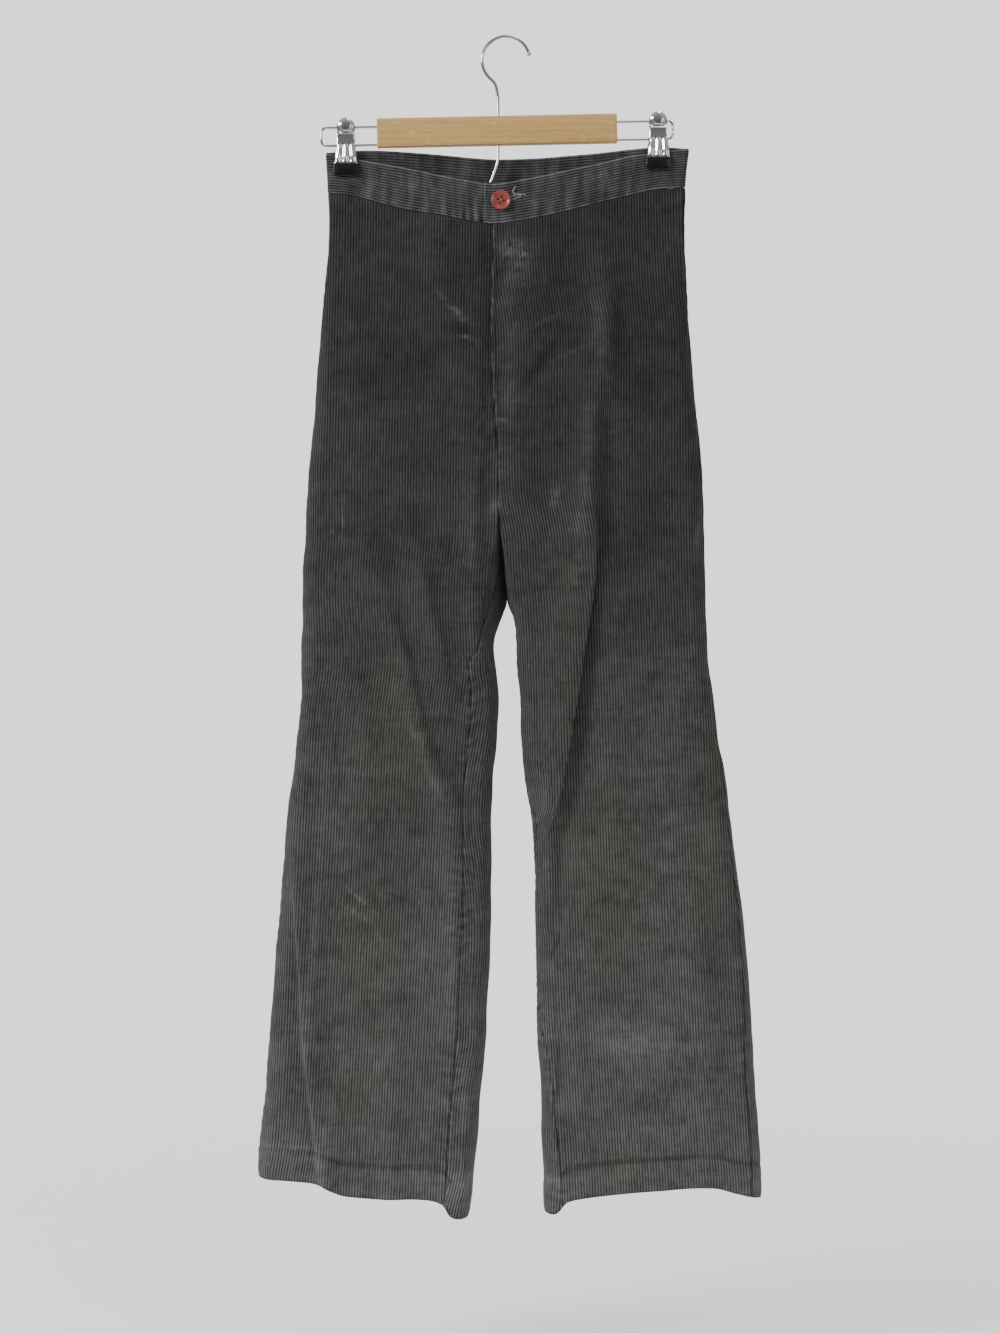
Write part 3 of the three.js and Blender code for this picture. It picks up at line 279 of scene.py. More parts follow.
FINE_BACK = (
    (2.0, 7, 4, ((560, 88), (640, 92), (720, 88), (800, 78)), 40),
    (-1.8, 7, 0, ((570, 78), (650, 82), (730, 76)), 35),
    (2.0, 7, -4, ((560, -96), (640, -100), (720, -94), (800, -84)), 40),
    (-1.8, 7, 0, ((570, -86), (650, -90), (730, -84)), 35),
    (1.4, 6, 0, ((470, 30), (520, 48), (566, 70)), 22),
    (1.4, 6, 0, ((470, -28), (520, -48), (566, -70)), 22),
    (-1.4, 5, 0, ((520, 24), (566, 42), (600, 60)), 20),
    (-1.4, 5, 0, ((520, -24), (566, -44), (600, -62)), 20),
    (1.8, 7, 3, ((820, 128), (920, 138), (1040, 146)), 40),
    (1.8, 7, -3, ((820, -112), (920, -120), (1040, -130)), 40),
    (-1.4, 7, 0, ((900, 60), (980, 64), (1070, 70)), 35),
    (-1.4, 7, 0, ((900, -60), (980, -66), (1070, -72)), 35),
    (1.0, 15, 0, ((200, 120), (280, 124), (380, 128)), 45),
    (1.0, 15, 0, ((200, -124), (280, -126), (380, -130)), 45),
)


def mix(a: Array, b: Array, share: Array) -> Array:
    """The value that lies a share of the way from a to b."""
    return a + (b - a) * share


def ease(start: float, end: float, value: Array) -> Array:
    """Rises smoothly from 0 at start to 1 at end."""
    t = np.clip((np.asarray(value, float) - start) / (end - start), 0, 1)
    return t * t * (3 - 2 * t)


def bell(value: Array, width: float, centre: float = 0.0) -> Array:
    """A soft bump, 1 at its centre and 0.37 at its width to each side."""
    return np.exp(-(((value - centre) / width) ** 2))


class Curve:
    """A smooth curve through one column of a table, flat beyond its ends."""

    def __init__(self, at: tuple[float, ...], to: tuple[float, ...]) -> None:
        """Works out the slope at each row, from the rows' places in rising order and their values."""
        self.at = np.array(at, float)
        self.to = np.array(to, float)
        rows = np.arange(len(at))
        before, after = np.maximum(rows - 1, 0), np.minimum(rows + 1, rows[-1])
        self.slope = (self.to[after] - self.to[before]) / (self.at[after] - self.at[before])

    def __call__(self, value: Array) -> Array:
        """The curve's value at each place."""
        v = np.clip(value, self.at[0], self.at[-1])
        i = np.clip(np.searchsorted(self.at, v, "right") - 1, 0, len(self.at) - 2)
        span = self.at[i + 1] - self.at[i]
        t = (v - self.at[i]) / span
        s = 1 - t
        ends = self.to[i] * s * s * (1 + 2 * t) + self.to[i + 1] * t * t * (1 + 2 * s)
        return ends + span * s * t * (self.slope[i] * s - self.slope[i + 1] * t)


def curves(names: str, rows: tuple[tuple[float, ...], ...]) -> dict[str, Curve]:
    """A curve for each named column of a table but the first, which says where the rows lie."""
    at, *columns = zip(*rows)
    return {name: Curve(at, column) for name, column in zip(names.split()[1:], columns)}


level = curves("drop left_outer left_front left_back right_front right_back right_outer", LEVELS)
depth = curves("drop front back side_fold", DEPTHS)
seam = curves("drop left_out right_out left_in right_in", SEAMS)
waist = curves("x front_top front_seam back_top back_seam", WAIST)
hem = curves("x front back", HEMS)
grain = curves("drop left right", GRAIN)


class FoldField:
    """All the folds of one face of the garment."""

    def __init__(self, rows: tuple[tuple, ...]) -> None:
        """Makes each row's fold and the curve of its path."""
        self.folds = [(Fold(*row), Curve(*zip(*row[3]))) for row in rows]

    def __call__(self, x: Array, drop: Array) -> tuple[Array, Array]:
        """How far the folds push the cloth.

        Args:
            x: where the cloth is, across.
            drop: where it is, down.

        Returns:
            The distances out and sideways.
        """
        out, side = np.zeros_like(x), np.zeros_like(x)
        for fold, along in self.folds:
            first, last = fold.path[0][0], fold.path[-1][0]
            begun = ease(first - fold.fade, first + fold.fade, drop)
            share = begun * (1 - ease(last - fold.fade, last + fold.fade, drop))
            share = share * bell(x, fold.width, along(drop))
            out += fold.rise * share
            side += fold.lean * share
        return out, side


class Half(Enum):
    """The two halves of the garment, by the wearer's side."""

    RIGHT = "right"
    LEFT = "left"

    @property
    def outward(self) -> int:
        """Which way along x this half's outer side lies."""
        return -1 if self is Half.RIGHT else 1

    @property
    def viewers(self) -> str:
        """The half's side as the viewer sees it, as the tables name it."""
        return "left" if self is Half.RIGHT else "right"


def under_fly(drop: Array) -> Array:
    """The inner edge of the panel that runs on behind the fly."""
    share = 1 - ease(FLY_END - 25, FLY_END + 8, drop)
    return mix(level["left_front"](drop), 4.0, share)


def front_edge(half: Half, drop: Array) -> Array:
    """The inner edge of a half's front."""
    return under_fly(drop) if half is Half.RIGHT else level["right_front"](drop)


class Garment:
    """The cloth's outer face as a function of place, and lengths measured along it."""

    DROPS = np.arange(104.0, 1196.0, 6.0)
    TURNS = np.linspace(0.0, ROUND, 701)

    def __init__(self) -> None:
        """Measures both halves once."""
        self.front_folds = FoldField(FRONT_FOLDS + FINE_FRONT)
        self.back_folds = FoldField(BACK_FOLDS + FINE_BACK)
        self.lengths = {half: self._measure(half) for half in Half}
        self.seam_turns = {half: self._seams(half) for half in Half}

    def stand_off(self, x: Array, drop: Array, is_front: Array) -> Array:
        """How far the cloth stands from the plane of the hanger, before its folds.

        Args:
            x: where the cloth is, across.
            drop: where it is, down.
            is_front: whether it is the front.

        Returns:
            The distance from the plane.
        """
        across = np.clip(np.abs(x + 4.0) / 143.0, 0, 1)
        torso = 1 - across**2
        held = 3.1 + 11.0 * torso**1.5
        left = mix(level["left_outer"](drop), level["left_front"](drop), 0.5)
        right = mix(level["right_outer"](drop), level["right_front"](drop), 0.5)
        leg = 1 - np.clip(np.abs(x - np.where(x < 0, left, right)) / 105.0, 0, 1) ** 2
        crown = 4.0 * mix(torso, leg, ease(430, 640, drop))
        free = np.where(is_front, depth["front"](drop), depth["back"](drop)) + crown
        return mix(held, free, ease(140, 330, drop))

    def inner_edge(self, half: Half, share: Array, drop: Array) -> Array:
        """The x of the fold along the inside of the leg, a share of the way from front to back."""
        crotch = mix(FRONT_FORK, BACK_FORK, share)
        opened = np.clip((drop - crotch) / 30.0, 0, 1)
        parted = np.sqrt(opened * (2 - opened))
        front = front_edge(half, drop)
        free = mix(front, level[half.viewers + "_back"](drop), share)
        return mix(mix(-8.0, 1.0, share), free, parted)

    @staticmethod
    def inner_radius(share: Array, drop: Array) -> Array:
        """The width of that fold."""
        front = 14.0 * ease(FRONT_FORK, FRONT_FORK + 150, drop)
        back = 14.0 * ease(BACK_FORK, BACK_FORK + 130, drop)
        return mix(front, back, share)

    def cloth(self, half: Half, turn: Array, drop: Array) -> Array:
        """Points of the cloth's outer face.

        Args:
            half: which half of the garment.
            turn: the places round it.
            drop: the places down it.

        Returns:
            An array of points, in millimetres.
        """
        s = half.outward
        turn = np.mod(np.asarray(turn, float), ROUND)
        drop = np.asarray(drop, float) + np.zeros_like(turn)
        outer = level[half.viewers + "_outer"](drop)
        fold = depth["side_fold"](drop)
        front = front_edge(half, drop)
        back = level[half.viewers + "_back"](drop)
        side_angle = np.where(turn <= 1, turn, ROUND - turn) * math.pi / 2
        inner_angle = np.clip(turn - 2, 0, 3) * math.pi / 3
        share = (1 - np.cos(inner_angle)) / 2
        inner_x = self.inner_edge(half, share, drop)
        inner_x = inner_x + s * self.inner_radius(share, drop) * (1 - np.sin(inner_angle))
        front_end = front + s * self.inner_radius(np.float64(0), drop)
        back_end = back + s * self.inner_radius(np.float64(1), drop)
        ranges = [(turn <= 1) | (turn >= 6), turn <= 2, turn < 5]
        side_end = outer - s * fold
        places = [side_end + s * fold * np.cos(side_angle), mix(side_end, front_end, turn - 1), inner_x]
        x = np.select(ranges, places, mix(back_end, side_end, turn - 5))
        reach = np.select(ranges, [np.sin(side_angle), np.ones_like(x), np.abs(np.cos(inner_angle))], 1.0)
        is_front = turn < 3.5
        front_out, front_side = self.front_folds(x, drop)
        back_out, back_side = self.back_folds(x, drop)
        out = np.where(is_front, front_out, back_out)
        side = np.where(is_front, front_side, back_side)
        inset = 0.0
        if half is Half.RIGHT:
            inset = LAYER * ease(-28, -17, x) * (1 - ease(FLY_END + 8, FLY_END + 45, drop))
            inset = np.where(turn < 2.01, inset, 0)
        stand = (self.stand_off(x, drop, is_front) + out) * reach - inset
        return np.stack([x + side * reach, np.where(is_front, -stand, stand), -drop], -1)

    def outward(self, half: Half, turn: Array, drop: Array) -> Array:
        """The cloth's outward directions at points of its outer face."""
        a = self.cloth(half, turn + 0.004, drop) - self.cloth(half, turn - 0.004, drop)
        b = self.cloth(half, turn, drop + 0.8) - self.cloth(half, turn, drop - 0.8)
        n = np.cross(a, b) * half.outward
        return n / np.maximum(np.linalg.norm(n, axis=-1, keepdims=True), 1e-9)

    def _measure(self, half: Half) -> Array:
        """Lengths along the cloth from turn 0, at each drop and turn of the class's grid."""
        turns, drops = np.meshgrid(self.TURNS, self.DROPS)
        turns[:, -1] -= 1e-6
        points = self.cloth(half, turns, drops)
        steps = np.linalg.norm(np.diff(points, axis=1), axis=2)
        return np.concatenate([np.zeros((len(self.DROPS), 1)), np.cumsum(steps, 1)], 1)

    def _seams(self, half: Half) -> dict[str, Array]:
        """The turns of the outseam, the inseam and the grain line at each drop of the grid."""
        found = {"out": [], "in": [], "front_grain": [], "back_grain": []}
        for row, drop in zip(self.lengths[half], self.DROPS):
            total = row[-1]
            out_length = seam[half.viewers + "_out"](drop)
            laps = math.floor(out_length / total)
            found["out"].append(np.interp(out_length - laps * total, row, self.TURNS) + laps * ROUND)
            middle = np.interp(2.75, self.TURNS, row)
            place = np.interp(middle - seam[half.viewers + "_in"](drop), row, self.TURNS)
            start = 2 + 3 * math.acos(1 - 2 * INSEAM_START) / math.pi
            found["in"].append(mix(start, place, ease(CROTCH_DROP, CROTCH_DROP + 120, drop)))
            s = half.outward
            grain_x = grain[half.viewers](drop)
            outer = level[half.viewers + "_outer"](drop) - s * depth["side_fold"](drop)
            front = front_edge(half, drop)
            front_end = front + s * self.inner_radius(np.float64(0), drop)
            back_end = level[half.viewers + "_back"](drop) + s * self.inner_radius(np.float64(1), drop)
            found["front_grain"].append(1 + (grain_x - outer) / (front_end - outer))
            found["back_grain"].append(5 + (grain_x - back_end) / (outer - back_end))
        return {name: np.array(values) for name, values in found.items()}

    def turn_of(self, half: Half, name: str, drop: Array) -> Array:
        """The turn of a seam or grain line at each drop."""
        return np.interp(drop, self.DROPS, self.seam_turns[half][name])

    def length(self, half: Half, turn: Array, drop: Array) -> Array:
        """The length along the cloth from turn 0 to a place, measured on the level.

        Args:
            half: which half of the garment.
            turn: the places round it.
            drop: the places down it.

        Returns:
            The lengths in millimetres.
        """
        table = self.lengths[half]
        laps = np.floor(turn / ROUND)
        u = (turn - laps * ROUND) / ROUND * (len(self.TURNS) - 1)
        v = (np.clip(drop, self.DROPS[0], self.DROPS[-1]) - self.DROPS[0]) / (self.DROPS[1] - self.DROPS[0])
        i = np.clip(u.astype(int), 0, len(self.TURNS) - 2)
        j = np.clip(v.astype(int), 0, len(self.DROPS) - 2)
        a = mix(table[j, i], table[j, i + 1], u - i) + laps * table[j, -1]
        b = mix(table[j + 1, i], table[j + 1, i + 1], u - i) + laps * table[j + 1, -1]
        return mix(a, b, v - j)

    def moved(self, half: Half, turn: float, drop: float, distance: float) -> float:
        """A turn moved along the cloth by a short distance."""
        here = self.length(half, np.array([turn]), np.array([drop]))
        there = self.length(half, np.array([turn + 0.02]), np.array([drop]))
        return turn + 0.02 * distance / max(float(there[0] - here[0]), 0.02)


def ripple(x: Array, drop: Array, size: float, seed: float) -> Array:
    """A smooth unevenness from -1 to 1, made of a few crossing waves.

    Args:
        x: places across.
        drop: places down.
        size: the length of the main waves.
        seed: a number that shifts the pattern.

    Returns:
        The unevenness at each place.
    """
    total = np.zeros_like(x + drop)
    for k, (angle, scale) in enumerate(((0.3, 1.0), (1.4, 0.83), (2.3, 1.27), (2.9, 0.61), (0.9, 1.6))):
        along = (x * math.cos(angle + seed) + drop * math.sin(angle + seed)) / (size * scale)
        total += np.sin(TURN * along + seed * (k + 1) * 2.1 + 1.7 * np.sin(along * 0.9 + k))
    return total / 3.2


@dataclass(frozen=True)
class Patch:
    """A soft spot on the cloth: where it is, how far it reaches, and how strong it is."""

    x: float
    drop: float
    wide: float
    high: float
    strength: float
    tilt: float = 0.0

    def at(self, x: Array, drop: Array) -> Array:
        """The patch's strength at each place."""
        c, s = math.cos(self.tilt), math.sin(self.tilt)
        u = (c * (x - self.x) + s * (drop - self.drop)) / self.wide
        v = (c * (drop - self.drop) - s * (x - self.x)) / self.high
        return self.strength * np.exp(-(u * u) - v * v)


# Rubbed, pale places on the front, one pale band of painted light across a bulge low on the right leg, darker
# patches where the strength is below zero, and places that have turned a little olive. Each row is a Patch.
FRONT_WEAR_AND_LIGHT = (
    (2, 270, 10, 70, 0.2),
    (8, 212, 16, 10, 0.45),
    (12, 232, 14, 22, 0.22),
    (16, 218, 7, 1.6, 0.5, 0.3),
    (8, 240, 9, 1.4, 0.4, -0.3),
    (20, 250, 8, 1.4, 0.35, 0.35),
    (150, 640, 40, 110, 0.14),
    (150, 820, 46, 110, 0.16),
    (160, 1060, 60, 60, 0.1),
    (-194, 915, 7, 1.6, 0.5, 0.5),
    (4, 355, 9, 22, 0.25),
    (-3, 440, 10, 60, 0.14),
    (-49, 276, 9, 2.4, 0.7, 0.5),
    (-41, 286, 12, 1.8, 0.5, 0.35),
    (-38, 302, 12, 2.2, 0.45, 0.3),
    (-62, 262, 7, 2.0, 0.35, 0.6),
    (62, 318, 20, 2.2, 0.25, -0.35),
    (40, 285, 16, 2, 0.3, -0.5),
    (48, 458, 5, 11, 0.5, 0.3),
    (-2, 384.5, 8, 0.9, 0.9, 0.05),
    (-12, 471, 4, 9, 0.45, 0.5),
    (100, 330, 10, 90, 0.26, -0.1),
    (76, 460, 6, 110, 0.22, 0.09),
    # Painted light: the lit top of a bulge across the right leg.
    (124, 998, 48, 24, 0.42),
    (-33, 490, 4, 80, 0.16, 0.02),
    (-112, 660, 40, 60, 0.12),
    (-92, 690, 6, 26, 0.3, -0.45),
    (-72, 745, 5, 26, 0.3, -0.5),
    (-146, 858, 17, 1.4, 1.0, 0.72),
    (-150, 872, 14, 1.2, 0.6, 0.6),
    (-162, 485, 0.9, 16, 0.75),
    (-168, 497, 8, 0.9, 0.8, 0.42),
    (-193, 930, 4, 120, 0.4, 0.07),
    (-178, 1090, 8, 60, 0.3, 0.16),
    (-52, 930, 4, 90, 0.2),
    (-62, 1130, 22, 20, 0.2),
    (205, 640, 5, 60, 0.2),
    (190, 500, 3, 26, 0.5, 0.1),
    (38, 762, 3, 16, 0.4),
    (100, 700, 20, 120, 0.12),
    (-169, 707, 1.4, 11, -1.0),
    (-47, 294, 11, 3.2, -0.8, 0.25),
    (25, 326, 22, 5, -0.45, -0.55),
    (33, 257, 24, 16, -0.3),
    (-34, 232, 26, 16, -0.3),
    (133, 284, 34, 40, -0.25),
    (-120, 330, 40, 40, -0.2),
    (96, 1020, 22, 7, -0.35, 0.2),
    (129, 1061, 24, 8, -0.5, 0.25),
    (72, 1090, 24, 12, -0.35, 0.3),
    (167, 1112, 26, 8, -0.35),
    (-226, 968, 8, 24, -0.5),
    (-103, 1087, 24, 9, -0.4, 0.2),
    (-74, 1112, 16, 8, -0.4, 0.5),
    (-84, 1025, 16, 14, -0.35),
    (-212, 1058, 14, 26, -0.4),
    (-140, 620, 26, 34, -0.2),
    (150, 560, 30, 60, -0.18),
)
FRONT_TINT = (
    (-112, 700, 36, 90, 0.9),
    (-136, 905, 34, 60, 0.8),
    (-150, 1050, 40, 60, 0.35),
    (104, 830, 40, 110, 0.75),
    (60, 640, 14, 130, 0.6),
    (206, 720, 14, 120, 0.8),
    (72, 410, 16, 130, 0.4),
    (112, 1128, 18, 20, 0.7),
    (196, 850, 24, 60, 0.5),
)
BACK_WEAR = (
    (0, 330, 9, 160, 0.35),
    (-92, 400, 46, 70, 0.3),
    (90, 400, 46, 70, 0.3),
    (-122, 660, 30, 80, 0.2),
    (124, 660, 30, 80, 0.2),
    (-110, 980, 40, 90, 0.25),
    (118, 980, 40, 90, 0.25),
    (-90, 1140, 90, 12, 0.4),
    (120, 1140, 90, 12, 0.4),
)
BACK_TINT = (
    (-118, 760, 40, 110, 0.7),
    (122, 760, 40, 110, 0.7),
    (-80, 1020, 40, 60, 0.5),
    (110, 1040, 40, 60, 0.5),
)


def patches(rows: tuple[tuple[float, ...], ...], x: Array, drop: Array) -> Array:
    """The sum of all the patches in a table at each place."""
    return sum(Patch(*row).at(x, drop) for row in rows)


def in_scene(name: str, data: bpy.types.ID) -> Object:
    """A new object for a mesh, light or camera, put into the scene."""
    obj = bpy.data.objects.new(name, data)
    bpy.context.scene.collection.objects.link(obj)
    return obj


class MeshData:
    """Points, triangles and values at points, gathered for one piece."""

    def __init__(self) -> None:
        """Starts with nothing."""
        self.points: list[Array] = []
        self.faces: list[Array] = []
        self.slots: list[Array] = []
        self.values: dict[str, list[Array]] = {"rib": [], "wear": [], "tint": [], "across": [], "down": []}
        self.count = 0

    def add_points(self, points: Array, **values: Array) -> int:
        """Adds points with their values.

        Args:
            points: the points, in millimetres.
            **values: rib, the worn value (rubbing along with painted light and shade), tint, across and down at
                      each, or nothing for 0.

        Returns:
            The number of the first of them.
        """
        first = self.count
        self.points.append(points)
        for name, parts in self.values.items():
            parts.append(np.broadcast_to(np.asarray(values.get(name, 0.0), float), (len(points),)))
        self.count += len(points)
        return first

    def add_faces(self, faces: list[tuple[int, int, int]] | Array, slot: int = 0) -> None:
        """Adds triangles that take the material in the given slot."""
        faces = np.asarray(faces, np.int64).reshape(-1, 3)
        self.faces.append(faces)
        self.slots.append(np.full(len(faces), slot))

    def make(self, name: str, materials: list[Material], sharp: float = 60.0) -> Object:
        """Makes the piece.

        Args:
            name: the piece's name.
            materials: its materials, by slot.
            sharp: edges that turn more degrees than this aren't smoothed.

        Returns:
            The new object, at the origin.
        """
        points = np.concatenate(self.points) * MM
        faces = np.concatenate(self.faces)
        mesh = bpy.data.meshes.new(name)
        mesh.vertices.add(len(points))
        mesh.vertices.foreach_set("co", points.ravel())
        mesh.loops.add(faces.size)
        mesh.loops.foreach_set("vertex_index", faces.ravel())
        mesh.polygons.add(len(faces))
        mesh.polygons.foreach_set("loop_start", np.arange(0, faces.size, 3))
        mesh.polygons.foreach_set("material_index", np.concatenate(self.slots))
        mesh.polygons.foreach_set("use_smooth", np.ones(len(faces), bool))
        mesh.update(calc_edges=True)
        values = {key: np.concatenate(parts) for key, parts in self.values.items()}
        for key in ("rib", "wear", "tint"):
            layer = mesh.attributes.new(key, "FLOAT", "POINT")
            layer.data.foreach_set("value", values[key].astype(np.float32))
        uv = np.stack([values["across"], values["down"]], -1)[faces.ravel()] * MM
        mesh.uv_layers.new(name="grain").data.foreach_set("uv", uv.ravel())
        mesh.set_sharp_from_angle(angle=math.radians(sharp))
        for material in materials:
            mesh.materials.append(material)
        return in_scene(name, mesh)

    def add_wall(self, grids: list[Array]) -> None:
        """Closes a wall between two grids of point numbers that match, the first facing outwards."""
        for grid, is_back in zip(grids, (False, True)):
            a, b, c, d = grid[:-1, :-1], grid[:-1, 1:], grid[1:, 1:], grid[1:, :-1]
            faces = np.concatenate([np.stack(t, -1).reshape(-1, 3) for t in ((a, c, b), (a, d, c))])
            self.add_faces(faces[:, ::-1] if is_back else faces)
        loop, other = (np.concatenate([g[0], g[1:, -1], g[-1, -2::-1], g[-2::-1, 0]]) for g in grids)
        a, b, c, d = loop[:-1], loop[1:], other[1:], other[:-1]
        self.add_faces(np.concatenate([np.stack(t, -1) for t in ((a, b, c), (a, c, d))]))


@dataclass
class Row:
    """A row of points across a sheet: a parameter that rises along it, and their numbers."""

    at: Array
    ids: Array

    def __add__(self, other: "Row") -> "Row":
        """This row and another that starts at its last point."""
        return Row(np.concatenate([self.at, other.at[1:]]), np.concatenate([self.ids, other.ids[1:]]))


def zip_rows(upper: Row, lower: Row) -> list[tuple[int, int, int]]:
    """Joins two rows with triangles, matching points that have the same parameter.

    Args:
        upper: one row.
        lower: the other.

    Returns:
        The triangles.
    """
    faces = []
    a_at, a_ids, b_at, b_ids = upper.at.tolist(), upper.ids.tolist(), lower.at.tolist(), lower.ids.tolist()
    a_at.append(math.inf)
    b_at.append(math.inf)
    i = j = 0
    while i < len(a_ids) - 1 or j < len(b_ids) - 1:
        gap = a_at[i + 1] - b_at[j + 1]
        here, there = a_ids[i], b_ids[j]
        if abs(gap) < 1e-5:
            faces.append((here, a_ids[i + 1], b_ids[j + 1]))
            faces.append((here, b_ids[j + 1], there))
            i += 1
            j += 1
        elif gap < 0:
            faces.append((here, a_ids[i + 1], there))
            i += 1
        else:
            faces.append((here, b_ids[j + 1], there))
            j += 1
    return [f for f in faces if f[0] != f[1] and f[1] != f[2] and f[0] != f[2]]


def edge_drops(turn: Array, x: Array) -> tuple[Array, Array]:
    """The drops of the waist seam and of the hem's edge at places on either face."""
    is_front = turn % ROUND < 3.5
    waist_line = np.where(is_front, waist["front_seam"](x), waist["back_seam"](x))
    return waist_line, np.where(is_front, hem["front"](x), hem["back"](x))


def rib_height(across: Array) -> Array:
    """The height of the cord's ribs, 0 in a groove and 1 on a rib, at a distance across them."""
    return (0.5 + 0.5 * np.cos(TURN * across / WALE)) ** 0.7


@dataclass
class Spots:
    """Places along a row of a panel, and how far each lies from the panel's edges."""

    x: Array
    drop: Array
    across: Array
    from_out: Array
    from_end: Array
    from_hem: Array
    from_top: Array
    is_seam: bool  # whether the row's inner end lies on the inseam


@dataclass
class Panel:
    """One front or back panel: a closed wall whose ribs are raised and whose inside is plain."""

    garment: Garment
    half: Half
    is_front: bool
    rib: float = 0.5  # height of the ribs
    groove: float = 0.15  # how far a groove lies inside the solid's face
    rows: tuple[int, int, int] = (80, 24, 148)  # rows down to the front fork, the back fork and the hem
    thin: int = 4  # the inside has one row in this many

    @property
    def node(self) -> str:
        """The name of the panel's node."""
        return ("front_" if self.is_front else "back_") + self.half.value

    @property
    def corner(self) -> float:
        """The drop at which the panel's centre seam ends and its inside leg begins."""
        return FRONT_FORK if self.is_front else BACK_FORK

    def _inseam(self, drop: float) -> float:
        """The turn at which the panel ends on the inseam."""
        gap = SEAM_GAP + 0.3 * float(1 - ease(CROTCH_DROP + 60, CROTCH_DROP + 130, drop))
        turn = float(self.garment.turn_of(self.half, "in", drop))
        return self.garment.moved(self.half, turn, drop, -gap if self.is_front else gap)

    def _inner_drop(self, share: Array, nominal: float) -> Array:
        """The drops along a row's inner part, which fans out from the fork's corner."""
        crotch = mix(self.corner, CROTCH_DROP + 0.25, share)
        fade = 1 - np.clip((nominal - FRONT_FORK) / 210.0, 0, 1)
        fade = fade * (2 - fade)
        if self.is_front:
            return nominal + (crotch - FRONT_FORK) * fade
        reach = CROTCH_DROP + 0.25 - FRONT_FORK
        seam_end = nominal + reach * fade
        if nominal >= BACK_FORK:
            return mix(nominal, seam_end, share)
        low = 1 - (BACK_FORK - FRONT_FORK) / 210.0
        last = BACK_FORK + reach * low * (2 - low)
        begin = FRONT_FORK + reach
        return mix(crotch, mix(BACK_FORK, last, share), (seam_end - begin) / (last - begin))

    def _path(self, nominal: float, part: str) -> tuple[Array, Array]:
        """The turns and drops along part of a row: "main", "inner" or "full"."""
        half, garment = self.half, self.garment
        middle = 2.0 if self.is_front else 5.0
        out = float(garment.turn_of(half, "out", nominal)) + (0 if self.is_front else ROUND)
        out = garment.moved(half, out, nominal, SEAM_GAP if self.is_front else -SEAM_GAP)
        if part == "full":
            even = mix(out, self._inseam(nominal), 0.78)
            middle = mix(middle, even, ease(self.corner, self.corner + 110, nominal))
        turns, drops = [], []
        if part != "inner":
            turns.append(np.linspace(out, middle, 161))
            drops.append(np.full(161, nominal))
        if part != "main":
            share = np.linspace(0, 1, 81)
            drop = self._inner_drop(share, nominal)
            end = self._inseam(float(drop[-1]))
            span = INSEAM_START if self.is_front else 1 - INSEAM_START
            by_depth = np.arccos(1 - 2 * span * share) / math.acos(1 - 2 * span)
            way = mix(by_depth, share, ease(self.corner, self.corner + 140, nominal))
            turns.append(mix(middle, end, way))
            drops.append(drop)
        turn, drop = np.concatenate(turns), np.concatenate(drops)
        if part == "full":
            turn, drop = np.delete(turn, 161), np.delete(drop, 161)
        top = 1 - ease(TOP_LINE, TOP_LINE + 130, drop)
        bottom = ease(HEM_LINE - 150, HEM_LINE, drop)
        x = garment.cloth(half, turn, drop)[:, 0]
        seam_line, hem_line = edge_drops(turn, x)
        drop = drop + (seam_line + SEAM_GAP - TOP_LINE) * top + (hem_line - HEM_LINE) * bottom
        return turn, drop

    def _across(self, turn: Array, drop: Array) -> Array:
        """Distances from the grain line, rising from the outseam inwards."""
        name = "front_grain" if self.is_front else "back_grain"
        here = self.garment.length(self.half, turn, drop)
        grain_turn = self.garment.turn_of(self.half, name, drop)
        return (here - self.garment.length(self.half, grain_turn, drop)) * (1 if self.is_front else -1)

    def _sheet(self, data: MeshData, nominals: list[list[float]], pitch: float, outer: bool) -> dict[str, Row]:
        """Adds one face of the wall.

        Args:
            data: the mesh to add to.
            nominals: the levels of the main rows, of the inner rows that fan out, and of the full rows.
            pitch: how far apart the points are along a row.
            outer: whether it is the outer face.

        Returns:
            Its edges by name.
        """
        plan = [("main", n) for n in nominals[0]] + [("main", self.corner), ("inner", self.corner)]
        plan += [("inner", n) for n in nominals[1]] + [("full", n) for n in nominals[2]]
        rows = {"main": [], "inner": [], "full": []}
        for part, nominal in plan:
            turn, drop = self._path(nominal, part)
            across = np.maximum.accumulate(self._across(turn, drop) + np.arange(len(turn)) * 1e-6)
            low = math.ceil(across[0] / pitch + 0.35)
            high = math.floor(across[-1] / pitch - 0.35)
            wanted = np.concatenate([across[:1], np.arange(low, high + 1) * pitch, across[-1:]])
            turn, drop = np.interp(wanted, across, turn), np.interp(wanted, across, drop)
            x = self.garment.cloth(self.half, turn, drop)[:, 0]
            seam_line, hem_line = edge_drops(turn, x)
            start = -FAR if part == "inner" else wanted[0]
            edges = (wanted - start, wanted[-1] - wanted, hem_line - drop, drop - seam_line)
            spots = Spots(x, drop, wanted, *edges, nominal > self.corner)
            first = self._place(data, turn, spots, outer)
            rows[part].append((nominal, Row(wanted, first + np.arange(len(wanted)))))
        return self._join(data, rows, outer)

    def _join(self, data: MeshData, rows: dict[str, list[tuple[float, Row]]], outer: bool) -> dict[str, Row]:
        """Joins a sheet's rows and returns its edges."""
        main, inner, full = rows["main"], rows["inner"], rows["full"]
        for _, row in inner:
            row.ids[0] = main[-1][1].ids[-1]
        corner_row = inner[0][1]
        fan = inner[1:] + inner[:1]
        whole = [main[-1][1] + corner_row] + [row for _, row in full]
        faces = []
        for stretch in ([row for _, row in main], [row for _, row in fan], whole):
            for upper, lower in zip(stretch, stretch[1:]):
                faces += zip_rows(upper, lower)
        faces = np.array(faces)
        a, b, c = np.concatenate(data.points)[faces[len(faces) // 3]]
        facing = np.cross(b - a, c - a)[1] * (-1 if self.is_front else 1)
        data.add_faces(faces if (facing > 0) == outer else faces[:, ::-1], 0 if outer else 1)

